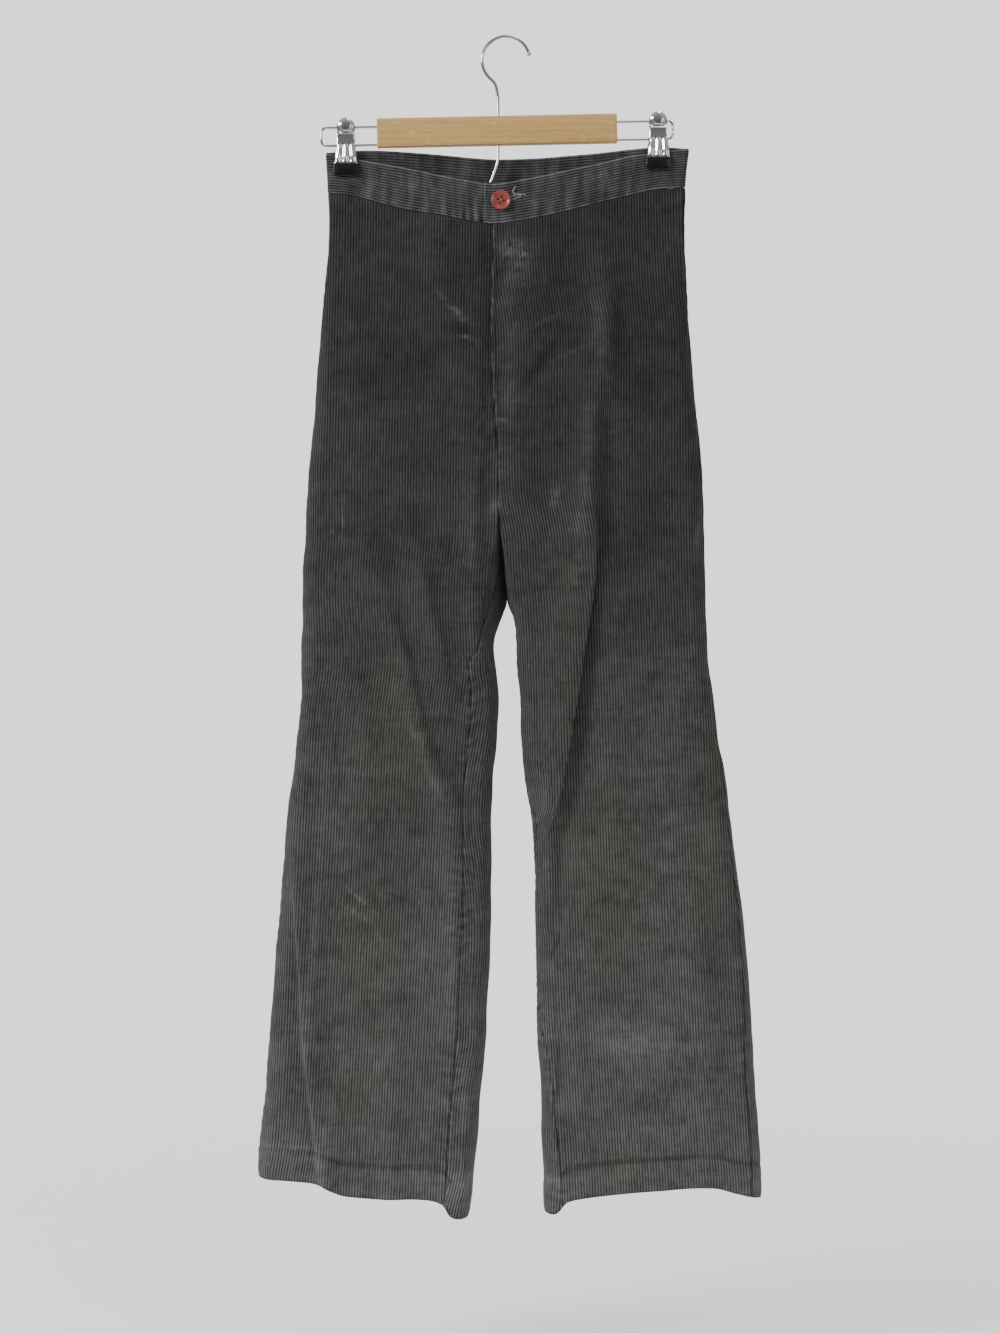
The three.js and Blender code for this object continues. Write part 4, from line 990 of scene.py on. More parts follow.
        def edge(rows: list[tuple[float, Row]], end: int) -> Row:
            """The line through the first or the last points of some rows."""
            return Row(np.array([n for n, _ in rows]), np.array([row.ids[end] for _, row in rows]))

        ends = {"out": edge(main + full, 0), "centre": edge(main, -1), "inseam": edge(fan + full, -1)}
        return ends | {"top": main[0][1], "crotch": fan[0][1], "hem": full[-1][1]}

    def _place(self, data: MeshData, turn: Array, s: Spots, outer: bool) -> int:
        """Adds a row's points, with its ribs, puckers and wear, and painted light and shade on the puckers, and
        returns the first one's number.
        """
        base = self.garment.cloth(self.half, turn, s.drop)
        normal = self.garment.outward(self.half, turn, s.drop)
        edge_in = bell(np.minimum(s.from_out, s.from_end), 1.1)
        height = rib_height(s.across) * (1 - bell(s.from_hem, 1.6) * 0.6) * (1 - 0.5 * edge_in)
        lift = self._relief(s) + (self.rib * height - self.groove - 0.35 * edge_in if outer else -CLOTH)
        worn, tinted = (FRONT_WEAR_AND_LIGHT, FRONT_TINT) if self.is_front else (BACK_WEAR, BACK_TINT)
        wear = patches(worn, s.x, s.drop) * (0.85 + 0.3 * ripple(s.x, s.drop, 23, 0.7))
        # The puckers' lift also goes into the colour, as painted light on their ridges and painted shade in their
        # troughs.
        wear = wear + self._seam_wear(s) + 0.55 * self._puckers(s)
        tint = patches(tinted, s.x, s.drop) * (0.75 + 0.4 * ripple(s.x, s.drop, 34, 1.9))
        shine = dict(rib=height, wear=np.clip(wear, -1, 1.2), tint=np.clip(tint, 0, 1))
        return data.add_points(base + normal * lift[:, None], across=s.across, down=s.drop, **shine)

    def _puckers(self, s: Spots) -> Array:
        """The short ridges across the side seams, where the thread has drawn the cloth up."""
        low = ease(380, 900, s.drop)
        own = 1.3 * self.half.outward
        waver = s.drop + 0.35 * s.from_end + 3.4 * np.sin(s.drop / 19.0 + own) + 1.9 * np.sin(s.drop / 7.1)
        strength = 0.6 + 0.4 * np.sin(s.drop / 31.0 + own)
        side = mix(0.2, 0.8, ease(960, 1040, s.drop) if self.half is Half.LEFT else 0.5 * low)
        lift = side * np.sin(TURN * (s.drop + waver) / 29.0) * strength * np.exp(-s.from_out / 9.0)
        inner = np.sin(TURN * waver / 11.6 + 1) + 0.5 * np.sin(TURN * waver / 6.7)
        return lift + mix(0.12, 0.62, low) * inner * strength * np.exp(-s.from_end / 10.0) * s.is_seam

    def _relief(self, s: Spots) -> Array:
        """How far small wrinkles, puckers and folded edges push the cloth out."""
        seed = 1.0 + 2.3 * self.is_front + 1.1 * self.half.outward
        lift = 0.45 * ripple(s.x, s.drop, 62, seed) + 0.3 * ripple(s.x, s.drop * 0.6, 27, seed + 1)
        lift += self._puckers(s) + 0.5 * bell(s.from_out, 2.2, 3.2) + 0.4 * bell(s.from_end, 2.2, 3.4)
        along = s.across + 1.8 * np.sin(s.across / 9.0 + seed) + 2.4 * np.sin(s.across / 23.0)
        lift += 0.55 * bell(s.from_hem, 7.5, HEM_DEPTH) * np.sin(TURN * along / 13.0)
        lift -= 0.95 * bell(s.from_hem, 1.6, HEM_DEPTH) * (0.75 + 0.35 * ripple(s.x, s.drop, 21, seed))
        lift += 0.7 * ease(0, 7, s.from_hem) * (1 - ease(HEM_DEPTH - 8, HEM_DEPTH, s.from_hem))
        lift += 0.22 * np.exp(-s.from_top / 9.0) * np.sin(TURN * along / 9.5)
        if self.is_front and self.half is Half.LEFT:
            fly = 1 - ease(FLY_END - 4, FLY_END + 12, s.drop)
            lift += fly * (0.6 * bell(s.from_end, 3.4) - 0.45 * bell(s.from_end, 1.2, 6.0))
            curve_x = 40.0 - 36.0 * ease(300, 372, s.drop) ** 2
            lift -= 0.35 * ease(262, 300, s.drop) * fly * bell(s.x, 1.3, curve_x)
        if self.is_front:
            bulk = bell(s.drop, 22, 222) * bell(s.x, 24, 8)
            lift += 0.7 * bulk * ripple(s.x, s.drop * 1.4 + s.x, 15, 0.4)
        return lift

    def _seam_wear(self, s: Spots) -> Array:
        """Wear along seams and edges, where the cloth stands proud and is rubbed, a little paler over the hem's
        band, with a painted highlight just above the hem's stitching and painted shade in its groove.
        """
        broken = 0.55 + 0.45 * np.sin(s.drop / 7.3) * np.sin(s.drop / 3.1 + 1)
        fly = float(self.is_front and self.half is Half.LEFT) * (1 - ease(FLY_END, FLY_END + 20, s.drop))
        wear = ((0.4 + 0.6 * fly) * bell(s.from_end, 2.4) + 0.2 * bell(s.from_out, 2.2)) * broken
        line = s.from_hem - HEM_DEPTH
        # Painted highlight just above the hem's stitching, and painted shade in its groove.
        wear = wear + 0.35 * bell(line, 1.2, 2.2) - 0.8 * bell(line, 1.1)
        return wear + 0.3 * bell(s.from_hem, 2.0) + 0.12 * (line < 0)

    def build(self, materials: list[Material]) -> Object:
        """Makes the panel.

        Args:
            materials: the ribbed face's material and the plain inside's.

        Returns:
            The panel's object.
        """
        data = MeshData()
        top, middle, low = self.rows
        upper = np.linspace(TOP_LINE, FRONT_FORK, top + 1)
        between = np.linspace(FRONT_FORK, BACK_FORK, middle + 1)
        lower = np.linspace(BACK_FORK, HEM_LINE, low + 1)
        sheets = []
        for outer in (True, False):
            step = 1 if outer else self.thin
            a, b, c = upper[::step], between[::step], lower[::step]
            if self.is_front:
                nominals = [list(a[:-1]), [], list(b[1:]) + list(c[1:])]
            else:
                nominals = [list(a[:-1]) + list(b[:-1]), list(b[:-1]), list(c[1:])]
            sheets.append(self._sheet(data, nominals, WALE / 4 if outer else WALE, outer))
        directed = np.concatenate(data.faces)
        codes = np.concatenate([directed[:, [0, 1]], directed[:, [1, 2]], directed[:, [2, 0]]])
        known = set((codes[:, 0] * 10_000_000 + codes[:, 1]).tolist())
        for name, edge in sheets[0].items():
            faces = np.array(zip_rows(edge, sheets[1][name]))
            if int(edge.ids[0]) * 10_000_000 + int(edge.ids[1]) in known:
                faces = faces[:, ::-1]
            data.add_faces(faces)
        return data.make("cord_" + self.node, materials)


def band_point(garment: Garment, turn: Array, drop: Array) -> Array:
    """Points of the waistband's outer face before it is moved out.

    Args:
        garment: the cloth's form.
        turn: places along the band: 0 to 1 across the right front from its upper end, 1 to 3
            round the right fold, 3 to 4 across the back, 4 to 6 round the left fold and 6 to 7
            across the left front to its lower end.
        drop: places down it.

    Returns:
        An array of points.
    """
    fold = depth["side_fold"](drop)
    right = level["right_outer"](drop) - fold
    left = level["left_outer"](drop) + fold
    right_angle = np.clip(turn - 1, 0, 2) * math.pi / 2
    left_angle = np.clip(turn - 4, 0, 2) * math.pi / 2
    ranges = [turn <= 1, turn <= 3, turn <= 4, turn <= 6]
    places = [
        mix(OVERLAP_END, right, turn),
        right + fold * np.sin(right_angle),
        mix(right, left, turn - 3),
        left - fold * np.sin(left_angle),
    ]
    x = np.select(ranges, places, mix(left, UNDERLAP_END, turn - 6))
    one = np.ones_like(x)
    reach = np.select(ranges, [one, np.abs(np.cos(right_angle)), one, np.abs(np.cos(left_angle))], one)
    is_front = (turn < 2) | (turn > 5)
    inset = np.where(turn > 6, BAND_LAYER * ease(OVERLAP_END - 18, OVERLAP_END - 2.5, x), 0)
    stand = garment.stand_off(x, drop, is_front) * reach - inset
    return np.stack([x, np.where(is_front, -stand, stand), -drop], -1)


@dataclass
class Waistband:
    """The waistband: one strip of cord laid sideways, ribbed on both faces, with its buttonhole."""

    garment: Garment
    rib: float = 0.42
    steps: tuple[int, ...] = (66, 8, 8, 116, 8, 8, 68)  # columns in each stretch
    per_rib: int = 4

    def _drops(self, turn: Array, share: float) -> Array:
        """The drops along the band at a share of its height."""
        is_front = (turn <= 2) | (turn > 5)
        x = band_point(self.garment, turn, np.full_like(turn, TOP_LINE))[:, 0]
        top = np.where(is_front, waist["front_top"](x), waist["back_top"](x))
        end = np.where(is_front, waist["front_seam"](x), waist["back_seam"](x)) - SEAM_GAP
        return mix(top, end, share)

    def _rumple(self, x: Array, share: float, is_front: Array) -> Array:
        """Soft upright ridges, closer and deeper beside the overlap's end."""
        beside = bell(x, 24, -38) * is_front
        waves = np.sin(TURN * (x + 2.5 * np.sin(x / 17) + 5 * share) / 15.5)
        small = np.sin(TURN * (x + 1.2 * np.sin(x / 7) - 3 * share) / 8.3)
        lower = ease(0.3, 0.95, share)
        calm = 1 - bell(np.abs(x + 4), 20, 156) - 0.8 * bell(x, 15, 3)
        return calm * (0.4 * waves * mix(0.6, 1.0, lower) + (0.2 + 0.95 * beside * lower) * small)

    def build(self, materials: list[Material]) -> Object:
        """Makes the band; its buttonhole is cut through afterwards.

        Args:
            materials: the cord's material.

        Returns:
            The band's object.
        """
        turns = np.concatenate([[0.0]] + [k + np.arange(1, n + 1) / n for k, n in enumerate(self.steps)])
        ribs = 15
        count = ribs * self.per_rib
        data = MeshData()
        grids = []
        total = len(turns)
        for outer in (True, False):
            ids = []
            for r in range(count + 1):
                share = r / count
                drop = self._drops(turns, share)
                here = band_point(self.garment, turns, drop)
                a = band_point(self.garment, np.clip(turns + 0.01, 0, ROUND), drop)
                b = band_point(self.garment, np.clip(turns - 0.01, 0, ROUND), drop)
                down = band_point(self.garment, turns, drop + 1) - band_point(self.garment, turns, drop - 1)
                normal = np.cross(down, a - b)
                normal /= np.maximum(np.linalg.norm(normal, axis=1, keepdims=True), 1e-9)
                x = here[:, 0]
                is_front = (turns < 2) | (turns > 5)
                wave = self._rumple(x, share, is_front)
                height = rib_height(np.full(total, share * ribs * WALE + 0.5 * WALE))
                edge = min(share, 1 - share) * ribs * WALE
                end = np.minimum(turns, ROUND - turns) * 190
                rounding = 0.75 * bell(edge, 1.3) + 0.5 * bell(end, 1.6)
                if outer:
                    lift = BAND_PROUD + wave + self.rib * height - 0.2 - rounding
                else:
                    lift = BAND_PROUD - BAND + wave - self.rib * height + 0.2 + rounding
                worn_edge = 0.6 if share < 0.5 else 0.1 + 0.6 * (x > -18)
                near = 0.45 * bell(end, 1.8) + worn_edge * bell(edge, 1.5)
                # The rumples' lift goes into this value too: painted light on their ridges and painted shade in
                # their valleys; the rest is rubbing.
                rubbed_and_lit = 0.12 + near + 0.3 * wave + 0.1 * ripple(x, drop, 37, 0.3)
                first = data.add_points(
                    here + normal * lift[:, None],
                    rib=height,
                    wear=np.clip(rubbed_and_lit, -1, 1),
                    across=np.full(total, share * ribs * WALE),
                    down=here[:, 0] + np.where(is_front, 0, 500),
                )
                ids.append(np.arange(first, first + total))
            grids.append(np.array(ids))
        data.add_wall(grids)
        band = data.make("band_strip", materials)
        face_outwards(band)
        return band


@dataclass
class HemTurning:
    """The turned-up layer inside one leg's hem: a closed ring of cord."""

    garment: Garment
    half: Half
    thick: float = 1.3
    rib: float = 0.35
    levels: tuple[float, ...] = (0.03, 0.3, 0.6, 0.9, 0.97)  # shares of the hem's depth, from its stitching

    def build(self, materials: list[Material]) -> Object:
        """Makes the ring, with its ribs on the side that faces into the leg."""
        garment, half = self.garment, self.half
        pitch = WALE / 4
        at = np.linspace(0, ROUND, 1401)
        lengths = garment.length(half, at, np.full(1401, HEM_LINE))
        total = float(lengths[-1])
        across = np.arange(round(total / pitch)) * pitch
        turns = np.interp(across, lengths, at)
        data = MeshData()
        loops = {}
        for inner in (False, True):
            for share in self.levels:
                nominal = HEM_LINE - HEM_DEPTH * (1 - share)
                x = garment.cloth(half, turns, np.full_like(turns, nominal))[:, 0]
                hem_line = edge_drops(turns, x)[1]
                drop = nominal + (hem_line - HEM_LINE) * ease(HEM_LINE - 150, HEM_LINE, nominal)
                base = garment.cloth(half, turns, drop)
                normal = garment.outward(half, turns, drop)
                height = rib_height(across)
                depth_in = CLOTH + LAY_GAP + (self.thick + self.rib * (height - 0.6) if inner else 0.3)
                puff = 0.7 * ease(0, 7, hem_line - drop)
                points = base - normal * (depth_in - puff)[:, None]
                first = data.add_points(points, rib=height, wear=0.05, across=across, down=drop)
                loops[inner, share] = np.arange(first, first + len(turns))
        ring = [loops[False, s] for s in self.levels] + [loops[True, s] for s in reversed(self.levels)]
        ring.append(ring[0])
        for a, b in zip(ring, ring[1:]):
            c, d = np.roll(b, -1), np.roll(a, -1)
            faces = np.concatenate([np.stack((a, b, c), -1), np.stack((a, c, d), -1)])
            data.add_faces(faces if half is Half.RIGHT else faces[:, ::-1])
        return data.make("hem_" + half.value, materials)


class Tree:
    """A short way to build a node tree: makes nodes, sets their inputs and links them."""

    def __init__(self, tree: NodeTree) -> None:
        """Starts from a tree, emptied."""
        self.tree = tree
        tree.nodes.clear()

    def put(self, node: Node, inputs: dict) -> Node:
        """Puts values or sockets into a node's inputs, by name or number."""
        for name, value in inputs.items():
            if isinstance(value, NodeSocket):
                self.tree.links.new(value, node.inputs[name])
            else:
                node.inputs[name].default_value = value
        return node

    def node(self, kind: str, inputs: dict | None = None, **settings: object) -> Node:
        """Adds a node.

        Args:
            kind: the node's type.
            inputs: values or sockets to put into its inputs, by name or number.
            **settings: its properties.

        Returns:
            The node.
        """
        node = self.tree.nodes.new(kind)
        for name, value in settings.items():
            setattr(node, name, value)
        return self.put(node, inputs or {})

    def math(self, operation: str, a: object, b: object = 0.0, clamp: bool = False) -> NodeSocket:
        """One step of arithmetic on two numbers or sockets."""
        return self.node("ShaderNodeMath", {0: a, 1: b}, operation=operation, use_clamp=clamp).outputs[0]

    def times(self, a: object, b: object, clamp: bool = False) -> NodeSocket:
        """The product of two numbers or sockets."""
        return self.math("MULTIPLY", a, b, clamp)

    def mix_color(self, share: object, a: object, b: object, blend: str = "MIX") -> NodeSocket:
        """A mixture of two colours."""
        values = {"Factor": share, 6: a, 7: b}
        return self.node("ShaderNodeMix", values, data_type="RGBA", blend_type=blend).outputs[2]

    def shaded(self, color: object, tone: NodeSocket) -> NodeSocket:
        """A colour made darker or lighter by a tone."""
        grey_tone = self.node("ShaderNodeCombineColor", {0: tone, 1: tone, 2: tone}).outputs[0]
        return self.mix_color(1.0, color, grey_tone, "MULTIPLY")

    def scaled(self, vector: NodeSocket, *scale: float) -> NodeSocket:
        """A coordinate stretched along its axes."""
        return self.node("ShaderNodeMapping", {"Vector": vector, "Scale": scale}).outputs[0]

    def noise(self, vector: object, scale: float, detail: float = 3.0, rough: float = 0.55) -> NodeSocket:
        """Noise from 0 to 1 at a coordinate."""
        values = {"Vector": vector, "Scale": scale, "Detail": detail, "Roughness": rough}
        return self.node("ShaderNodeTexNoise", values).outputs[0]

    def span(self, value: object, low: float, high: float, start: float = 0, end: float = 1) -> NodeSocket:
        """A value mapped from one range to another, held at its ends."""
        values = {0: value, 1: low, 2: high, 3: start, 4: end}
        return self.node("ShaderNodeMapRange", values).outputs[0]

    def bump(self, height: NodeSocket, strength: float, distance: float) -> NodeSocket:
        """A normal turned by the slope of a height."""
        values = {"Strength": strength, "Distance": distance, "Height": height}
        return self.node("ShaderNodeBump", values).outputs[0]

    def place(self) -> NodeSocket:
        """The coordinate of the piece's own space."""
        return self.node("ShaderNodeTexCoord").outputs["Object"]

    def grain(self) -> NodeSocket:
        """The coordinate that follows the cloth's grain."""
        return self.node("ShaderNodeUVMap", uv_map="grain").outputs[0]


def shader_group(name: str, takes: dict[str, str], gives: dict[str, str]) -> tuple[NodeTree, Tree]:
    """Starts a shader node group.

    Args:
        name: the group's name.
        takes: its inputs, and the kind of each: "Vector", "Float" or "Color".
        gives: its outputs, in the same way.

    Returns:
        The group and a builder on it.
    """
    group = bpy.data.node_groups.new(name, "ShaderNodeTree")
    for way, sockets in (("INPUT", takes), ("OUTPUT", gives)):
        for label, kind in sockets.items():
            group.interface.new_socket(label, in_out=way, socket_type="NodeSocket" + kind)
    return group, Tree(group)


def nap_group() -> NodeTree:
    """The short pile of cord and tape: colour variation and height that follow the grain, with painted shade in
    the grooves between the ribs and the painted light and shade that come in with the worn value.
    """
    takes = {"Grain": "Vector", "Rib": "Float", "Wear And Shading": "Float"}
    takes |= {"Groove Color": "Color", "Rib Color": "Color", "Worn Color": "Color"}
    group, t = shader_group("nap", takes, {"Color": "Color", "Height": "Float"})
    inputs = t.node("NodeGroupInput").outputs
    along, rib, wear = inputs["Grain"], inputs["Rib"], inputs["Wear And Shading"]
    streak = t.noise(t.scaled(along, 357.0, 60.0, 1.0), 1.0, 2.0)
    tuft = t.noise(t.scaled(along, 1400.0, 900.0, 1.0), 1.0, 3.0, 0.7)
    brushed = t.noise(t.scaled(along, 38.0, 84.0, 1.0), 1.0, 7.0, 0.74)
    cloud = t.noise(t.scaled(along, 12.0, 17.0, 1.0), 1.0, 4.0, 0.62)
    # The grooves take a far darker colour than the ribs: partly the cord's own ground, partly painted shade
    # between the ribs.
    lit = t.math("ADD", rib, t.times(t.math("SUBTRACT", tuft, 0.5), 0.9))
    lit = t.math("POWER", t.math("MAXIMUM", lit, 0.0, True), 1.15)
    body = t.mix_color(lit, inputs["Groove Color"], inputs["Rib Color"])
    tone = t.math("ADD", t.span(streak, 0.25, 0.75, 0.7, 1.3), t.span(cloud, 0.3, 0.7, -0.15, 0.17))
    tone = t.math("ADD", tone, t.span(brushed, 0.32, 0.68, -0.24, 0.24))
    # Below zero the worn value darkens the colour: painted shade in the troughs of puckers and rumples, in the
    # hem's stitching groove, and darker patches. Above zero it pales it: real rubbing, and painted highlights on
    # ridges.
    body = t.shaded(body, t.times(tone, t.span(wear, -1.0, 0.0, 0.45, 1.0)))
    rubbed_and_lit = t.times(t.math("MAXIMUM", wear, 0.0), t.span(tuft, 0.3, 0.65, 0.35, 1.25))
    rubbed_and_lit = t.times(rubbed_and_lit, t.span(brushed, 0.36, 0.62, 0.3, 1.3))
    rubbed_and_lit = t.times(rubbed_and_lit, t.span(rib, 0.1, 0.8, 0.25, 1.0), True)
    body = t.mix_color(rubbed_and_lit, body, inputs["Worn Color"])
    t.node("NodeGroupOutput", {"Color": body, "Height": tuft}, is_active_output=True)
    return group


def mottle_group() -> NodeTree:
    """Uneven tone and fine scratches for hard pieces."""
    group, t = shader_group("mottle", {"Place": "Vector"}, {"Tone": "Float", "Scratch": "Float"})
    place = t.node("NodeGroupInput").outputs["Place"]
    scratch = t.noise(t.scaled(place, 900.0, 900.0, 90.0), 1.0, 2.0, 0.8)
    t.node("NodeGroupOutput", {"Tone": t.noise(place, 120.0, 4.0), "Scratch": scratch}, is_active_output=True)
    return group


def grey(value: float, warm: float = 0.0) -> Color:
    """A grey, a little warm or cool."""
    return (value * (1 + warm), value, value * (1 - warm), 1.0)


def new_material(name: str) -> tuple[Material, Tree, Node]:
    """An empty material, a builder on its tree, and its main shader."""
    material = bpy.data.materials.new(name)
    material.use_nodes = True
    tree = Tree(material.node_tree)
    shader = tree.node("ShaderNodeBsdfPrincipled")
    tree.node("ShaderNodeOutputMaterial", {"Surface": shader.outputs[0]})
    return material, tree, shader


@dataclass(frozen=True)
class CordFinish:
    """The cord's finish: its tone at the waist and at the hems, paler downwards partly as fading and partly as
    painted light on the nap, and how pale it rubs.
    """

    name: str
    nap: NodeTree
    # The grooves' tone, far below the ribs': partly the cord's own ground, partly painted shade.
    groove: float = 0.006
    # The ribs' tone at the waist and at the hems; the paler hems are partly fading and partly painted light.
    upper: float = 0.05
    lower: float = 0.115
    worn: float = 0.2

    def make(self) -> Material:
        """Makes the material."""
        material, t, shader = new_material(self.name)
        rib, wear, tint = (
            t.node("ShaderNodeAttribute", attribute_name=key).outputs["Fac"] for key in ("rib", "wear", "tint")
        )
        along, place = t.grain(), t.place()
        height = t.node("ShaderNodeSeparateXYZ", {0: place}).outputs[2]
        cloud = t.span(t.noise(place, 9.0, 3.0), 0.3, 0.7, -0.14, 0.14)
        # Share from the waist's tone to the hems' tone: partly fading, partly painted light on the nap lower down.
        lower = t.math("ADD", t.span(height, -0.3, -1.02), cloud, True)
        colors = {
            "Rib Color": t.mix_color(lower, grey(self.upper, -0.005), grey(self.lower, 0.03)),
            "Groove Color": t.mix_color(lower, grey(self.groove), grey(self.groove * 2.4)),
            "Worn Color": grey(self.worn, 0.02),
        }
        olive = t.mix_color(tint, (1, 1, 1, 1), (1.02, 1.0, 0.8, 1))
        values = {"Grain": along, "Rib": rib, "Wear And Shading": wear} | colors
        nap = t.node("ShaderNodeGroup", values, node_tree=self.nap).outputs
        finish = {
            "Base Color": t.mix_color(1.0, nap["Color"], olive, "MULTIPLY"),
            "Roughness": 0.92,
            "Specular IOR Level": 0.18,
            "Sheen Weight": 0.12,
            "Sheen Roughness": 0.45,
            "Normal": t.bump(nap["Height"], 0.6, 0.0004),
        }
        t.put(shader, finish)
        return material


@dataclass(frozen=True)
class BackingFinish:
    """The plain woven inside of the cloth."""

    name: str
    color: Color
    threads: float = 0.0007

    def make(self) -> Material:
        """Makes the material."""
        material, t, shader = new_material(self.name)
        along = t.grain()
        across = t.node("ShaderNodeSeparateXYZ", {0: along}).outputs
        warp, weft = (t.math("SINE", t.times(across[axis], TURN / self.threads)) for axis in (0, 1))
        weave = t.times(warp, weft)
        cloud = t.span(t.noise(t.scaled(along, 40.0, 40.0, 1.0), 1.0), 0.3, 0.7, -0.12, 0.12)
        color = t.shaded(self.color, t.math("ADD", t.span(weave, -1, 1, 0.75, 1.15), cloud))
        normal = t.bump(weave, 0.4, 0.0002)
        t.put(shader, {"Base Color": color, "Roughness": 0.95, "Specular IOR Level": 0.15, "Normal": normal})
        return material


@dataclass(frozen=True)
class HardFinish:
    """Metal, plastic, vinyl or thread: a colour that varies a little, and its gloss."""

    name: str
    mottle: NodeTree
    color: Color
    dark: Color
    rough: tuple[float, float] = (0.3, 0.45)
    metallic: float = 0.0
    coat: float = 0.0
    bump: float = 0.05

    def make(self) -> Material:
        """Makes the material."""
        material, t, shader = new_material(self.name)
        mottle = t.node("ShaderNodeGroup", {"Place": t.place()}, node_tree=self.mottle).outputs
        finish = {
            "Base Color": t.mix_color(t.span(mottle["Tone"], 0.3, 0.7), self.dark, self.color),
            "Roughness": t.span(mottle["Scratch"], 0.35, 0.75, *self.rough),
            "Metallic": self.metallic,
            "Coat Weight": self.coat,
            "Normal": t.bump(mottle["Scratch"], self.bump, 0.0003),
        }
        t.put(shader, finish)
        return material


@dataclass(frozen=True)
class WoodFinish:
    """Pale varnished wood with a fine straight grain and a few darker flecks."""

    name: str
    mottle: NodeTree
    pale: Color = (0.7, 0.44, 0.16, 1)
    dark: Color = (0.5, 0.29, 0.09, 1)

    def make(self) -> Material:
        """Makes the material."""
        material, t, shader = new_material(self.name)
        place = t.place()
        wavy = t.noise(t.scaled(place, 5.0, 40.0, 40.0), 1.0, 2.0)
        long_grain = t.noise(t.scaled(place, 9.0, 420.0, 420.0), 1.0, 4.0, 0.6)
        pores = t.noise(t.scaled(place, 90.0, 1500.0, 1500.0), 1.0, 2.0)
        knocks = t.noise(t.scaled(place, 150.0, 400.0, 330.0), 1.0, 4.0, 0.7)
        share = t.math("ADD", t.span(long_grain, 0.3, 0.7, 0, 0.75), t.span(wavy, 0.3, 0.7, -0.1, 0.3), True)
        color = t.mix_color(share, self.dark, self.pale)
        color = t.mix_color(t.span(pores, 0.62, 0.75, 0, 0.45), color, self.dark)
        color = t.mix_color(t.span(knocks, 0.58, 0.66, 0, 0.6), color, (0.8, 0.66, 0.43, 1))
        mottle = t.node("ShaderNodeGroup", {"Place": place}, node_tree=self.mottle).outputs
        finish = {
            "Base Color": color,
            "Roughness": t.span(mottle["Scratch"], 0.3, 0.75, 0.28, 0.5),
            "Coat Weight": 0.25,
            "Coat Roughness": 0.2,
            "Normal": t.bump(long_grain, 0.12, 0.0003),
        }
        t.put(shader, finish)
        return material


def path_through(points: list[Point], steps: int) -> Array:
    """A smooth path through some points.

    Args:
        points: the points it goes through.
        steps: how many places to return.

    Returns:
        The places along it, evenly spaced.
    """
    spots = np.array(points, float)
    at = np.concatenate([[0], np.cumsum(np.linalg.norm(np.diff(spots, axis=0), axis=1))])
    fine = np.linspace(0, at[-1], steps)
    return np.stack([Curve(at, spots[:, k])(fine) for k in range(3)], -1)


def add_rings(data: MeshData, rings: Array, capped: bool = True) -> None:
    """Adds a skin over rings of points, with a fan at each end.

    Args:
        data: the mesh to add to.
        rings: an array of rings, each an array of points.
        capped: whether its ends are closed, or else its last ring joins its first.
    """
    count, sides = rings.shape[:2]
    first = data.add_points(rings.reshape(-1, 3))
    grid = first + np.arange(count * sides).reshape(count, sides)
    pairs = zip(grid, grid[1:]) if capped else zip(grid, np.roll(grid, -1, 0))
    for a, b in pairs:
        c, d = np.roll(b, -1), np.roll(a, -1)
        data.add_faces(np.concatenate([np.stack((a, c, b), -1), np.stack((a, d, c), -1)]))
    if capped:
        poles = data.add_points(rings[[0, -1]].mean(1))
        for ring, pole, way in ((grid[0], poles, -1), (grid[-1], poles + 1, 1)):
            fan = np.stack((ring, np.roll(ring, -1), np.full(sides, pole)), -1)
            data.add_faces(fan[:, ::-1] if way < 0 else fan)


def add_tube(data: MeshData, path: Array, radius: float, sides: int = 16, tip: float = 0.5) -> None:
    """Adds a round wire along a path, with its ends' edges eased.

    Args:
        data: the mesh to add to.
        path: the places along its middle.
        radius: half its thickness.
        sides: how many sides its section has.
        tip: how much of each end is eased.
    """
    along = np.gradient(path, axis=0)
    along /= np.linalg.norm(along, axis=1, keepdims=True)
    side = np.cross(along[0], (0.0, 1.0, 0.3))
    u = np.empty_like(along)
    for i, direction in enumerate(along):
        side = side - direction * side.dot(direction)
        side /= np.linalg.norm(side)
        u[i] = side
    v = np.cross(along, u)
    angle = TURN * np.arange(sides) / sides
    thick = np.full(len(path), radius)
    thick[[0, -1]] = radius - min(tip, 0.6 * radius)
    cos, sin = np.cos(angle)[:, None], np.sin(angle)[:, None]
    round_section = cos * u[:, None] + sin * v[:, None]
    add_rings(data, path[:, None] + thick[:, None, None] * round_section)


def add_turned(data: MeshData, profile: list[tuple[float, float]], place: Matrix, sides: int = 40) -> None:
    """Adds a turned piece, whose profile of (radius, height) starts and ends near its axis."""
    angle = TURN * np.arange(sides) / sides
    rings = []
    for radius, height in profile:
        circle = np.stack([np.cos(angle), np.sin(angle), np.zeros(sides)], -1) * max(radius, 0.02)
        rings.append(circle + (0, 0, height))
    add_rings(data, placed(np.array(rings), place))


def placed(points: Array, place: Matrix) -> Array:
    """Points moved by a matrix."""
    m = np.array(place)
    return points @ m[:3, :3].T + m[:3, 3]


def rounded_box(width: float, height: float, corner: float, corner_steps: int = 6) -> Array:
    """The outline of a rectangle with rounded corners, going round from +x to +y."""
    spots = []
    for k, (sx, sy) in enumerate(((1, 1), (-1, 1), (-1, -1), (1, -1))):
        for step in range(corner_steps + 1):
            angle = (k + step / corner_steps) * math.pi / 2
            x = sx * (width / 2 - corner) + corner * math.cos(angle)
            spots.append((x, sy * (height / 2 - corner) + corner * math.sin(angle)))
    return np.array(spots)


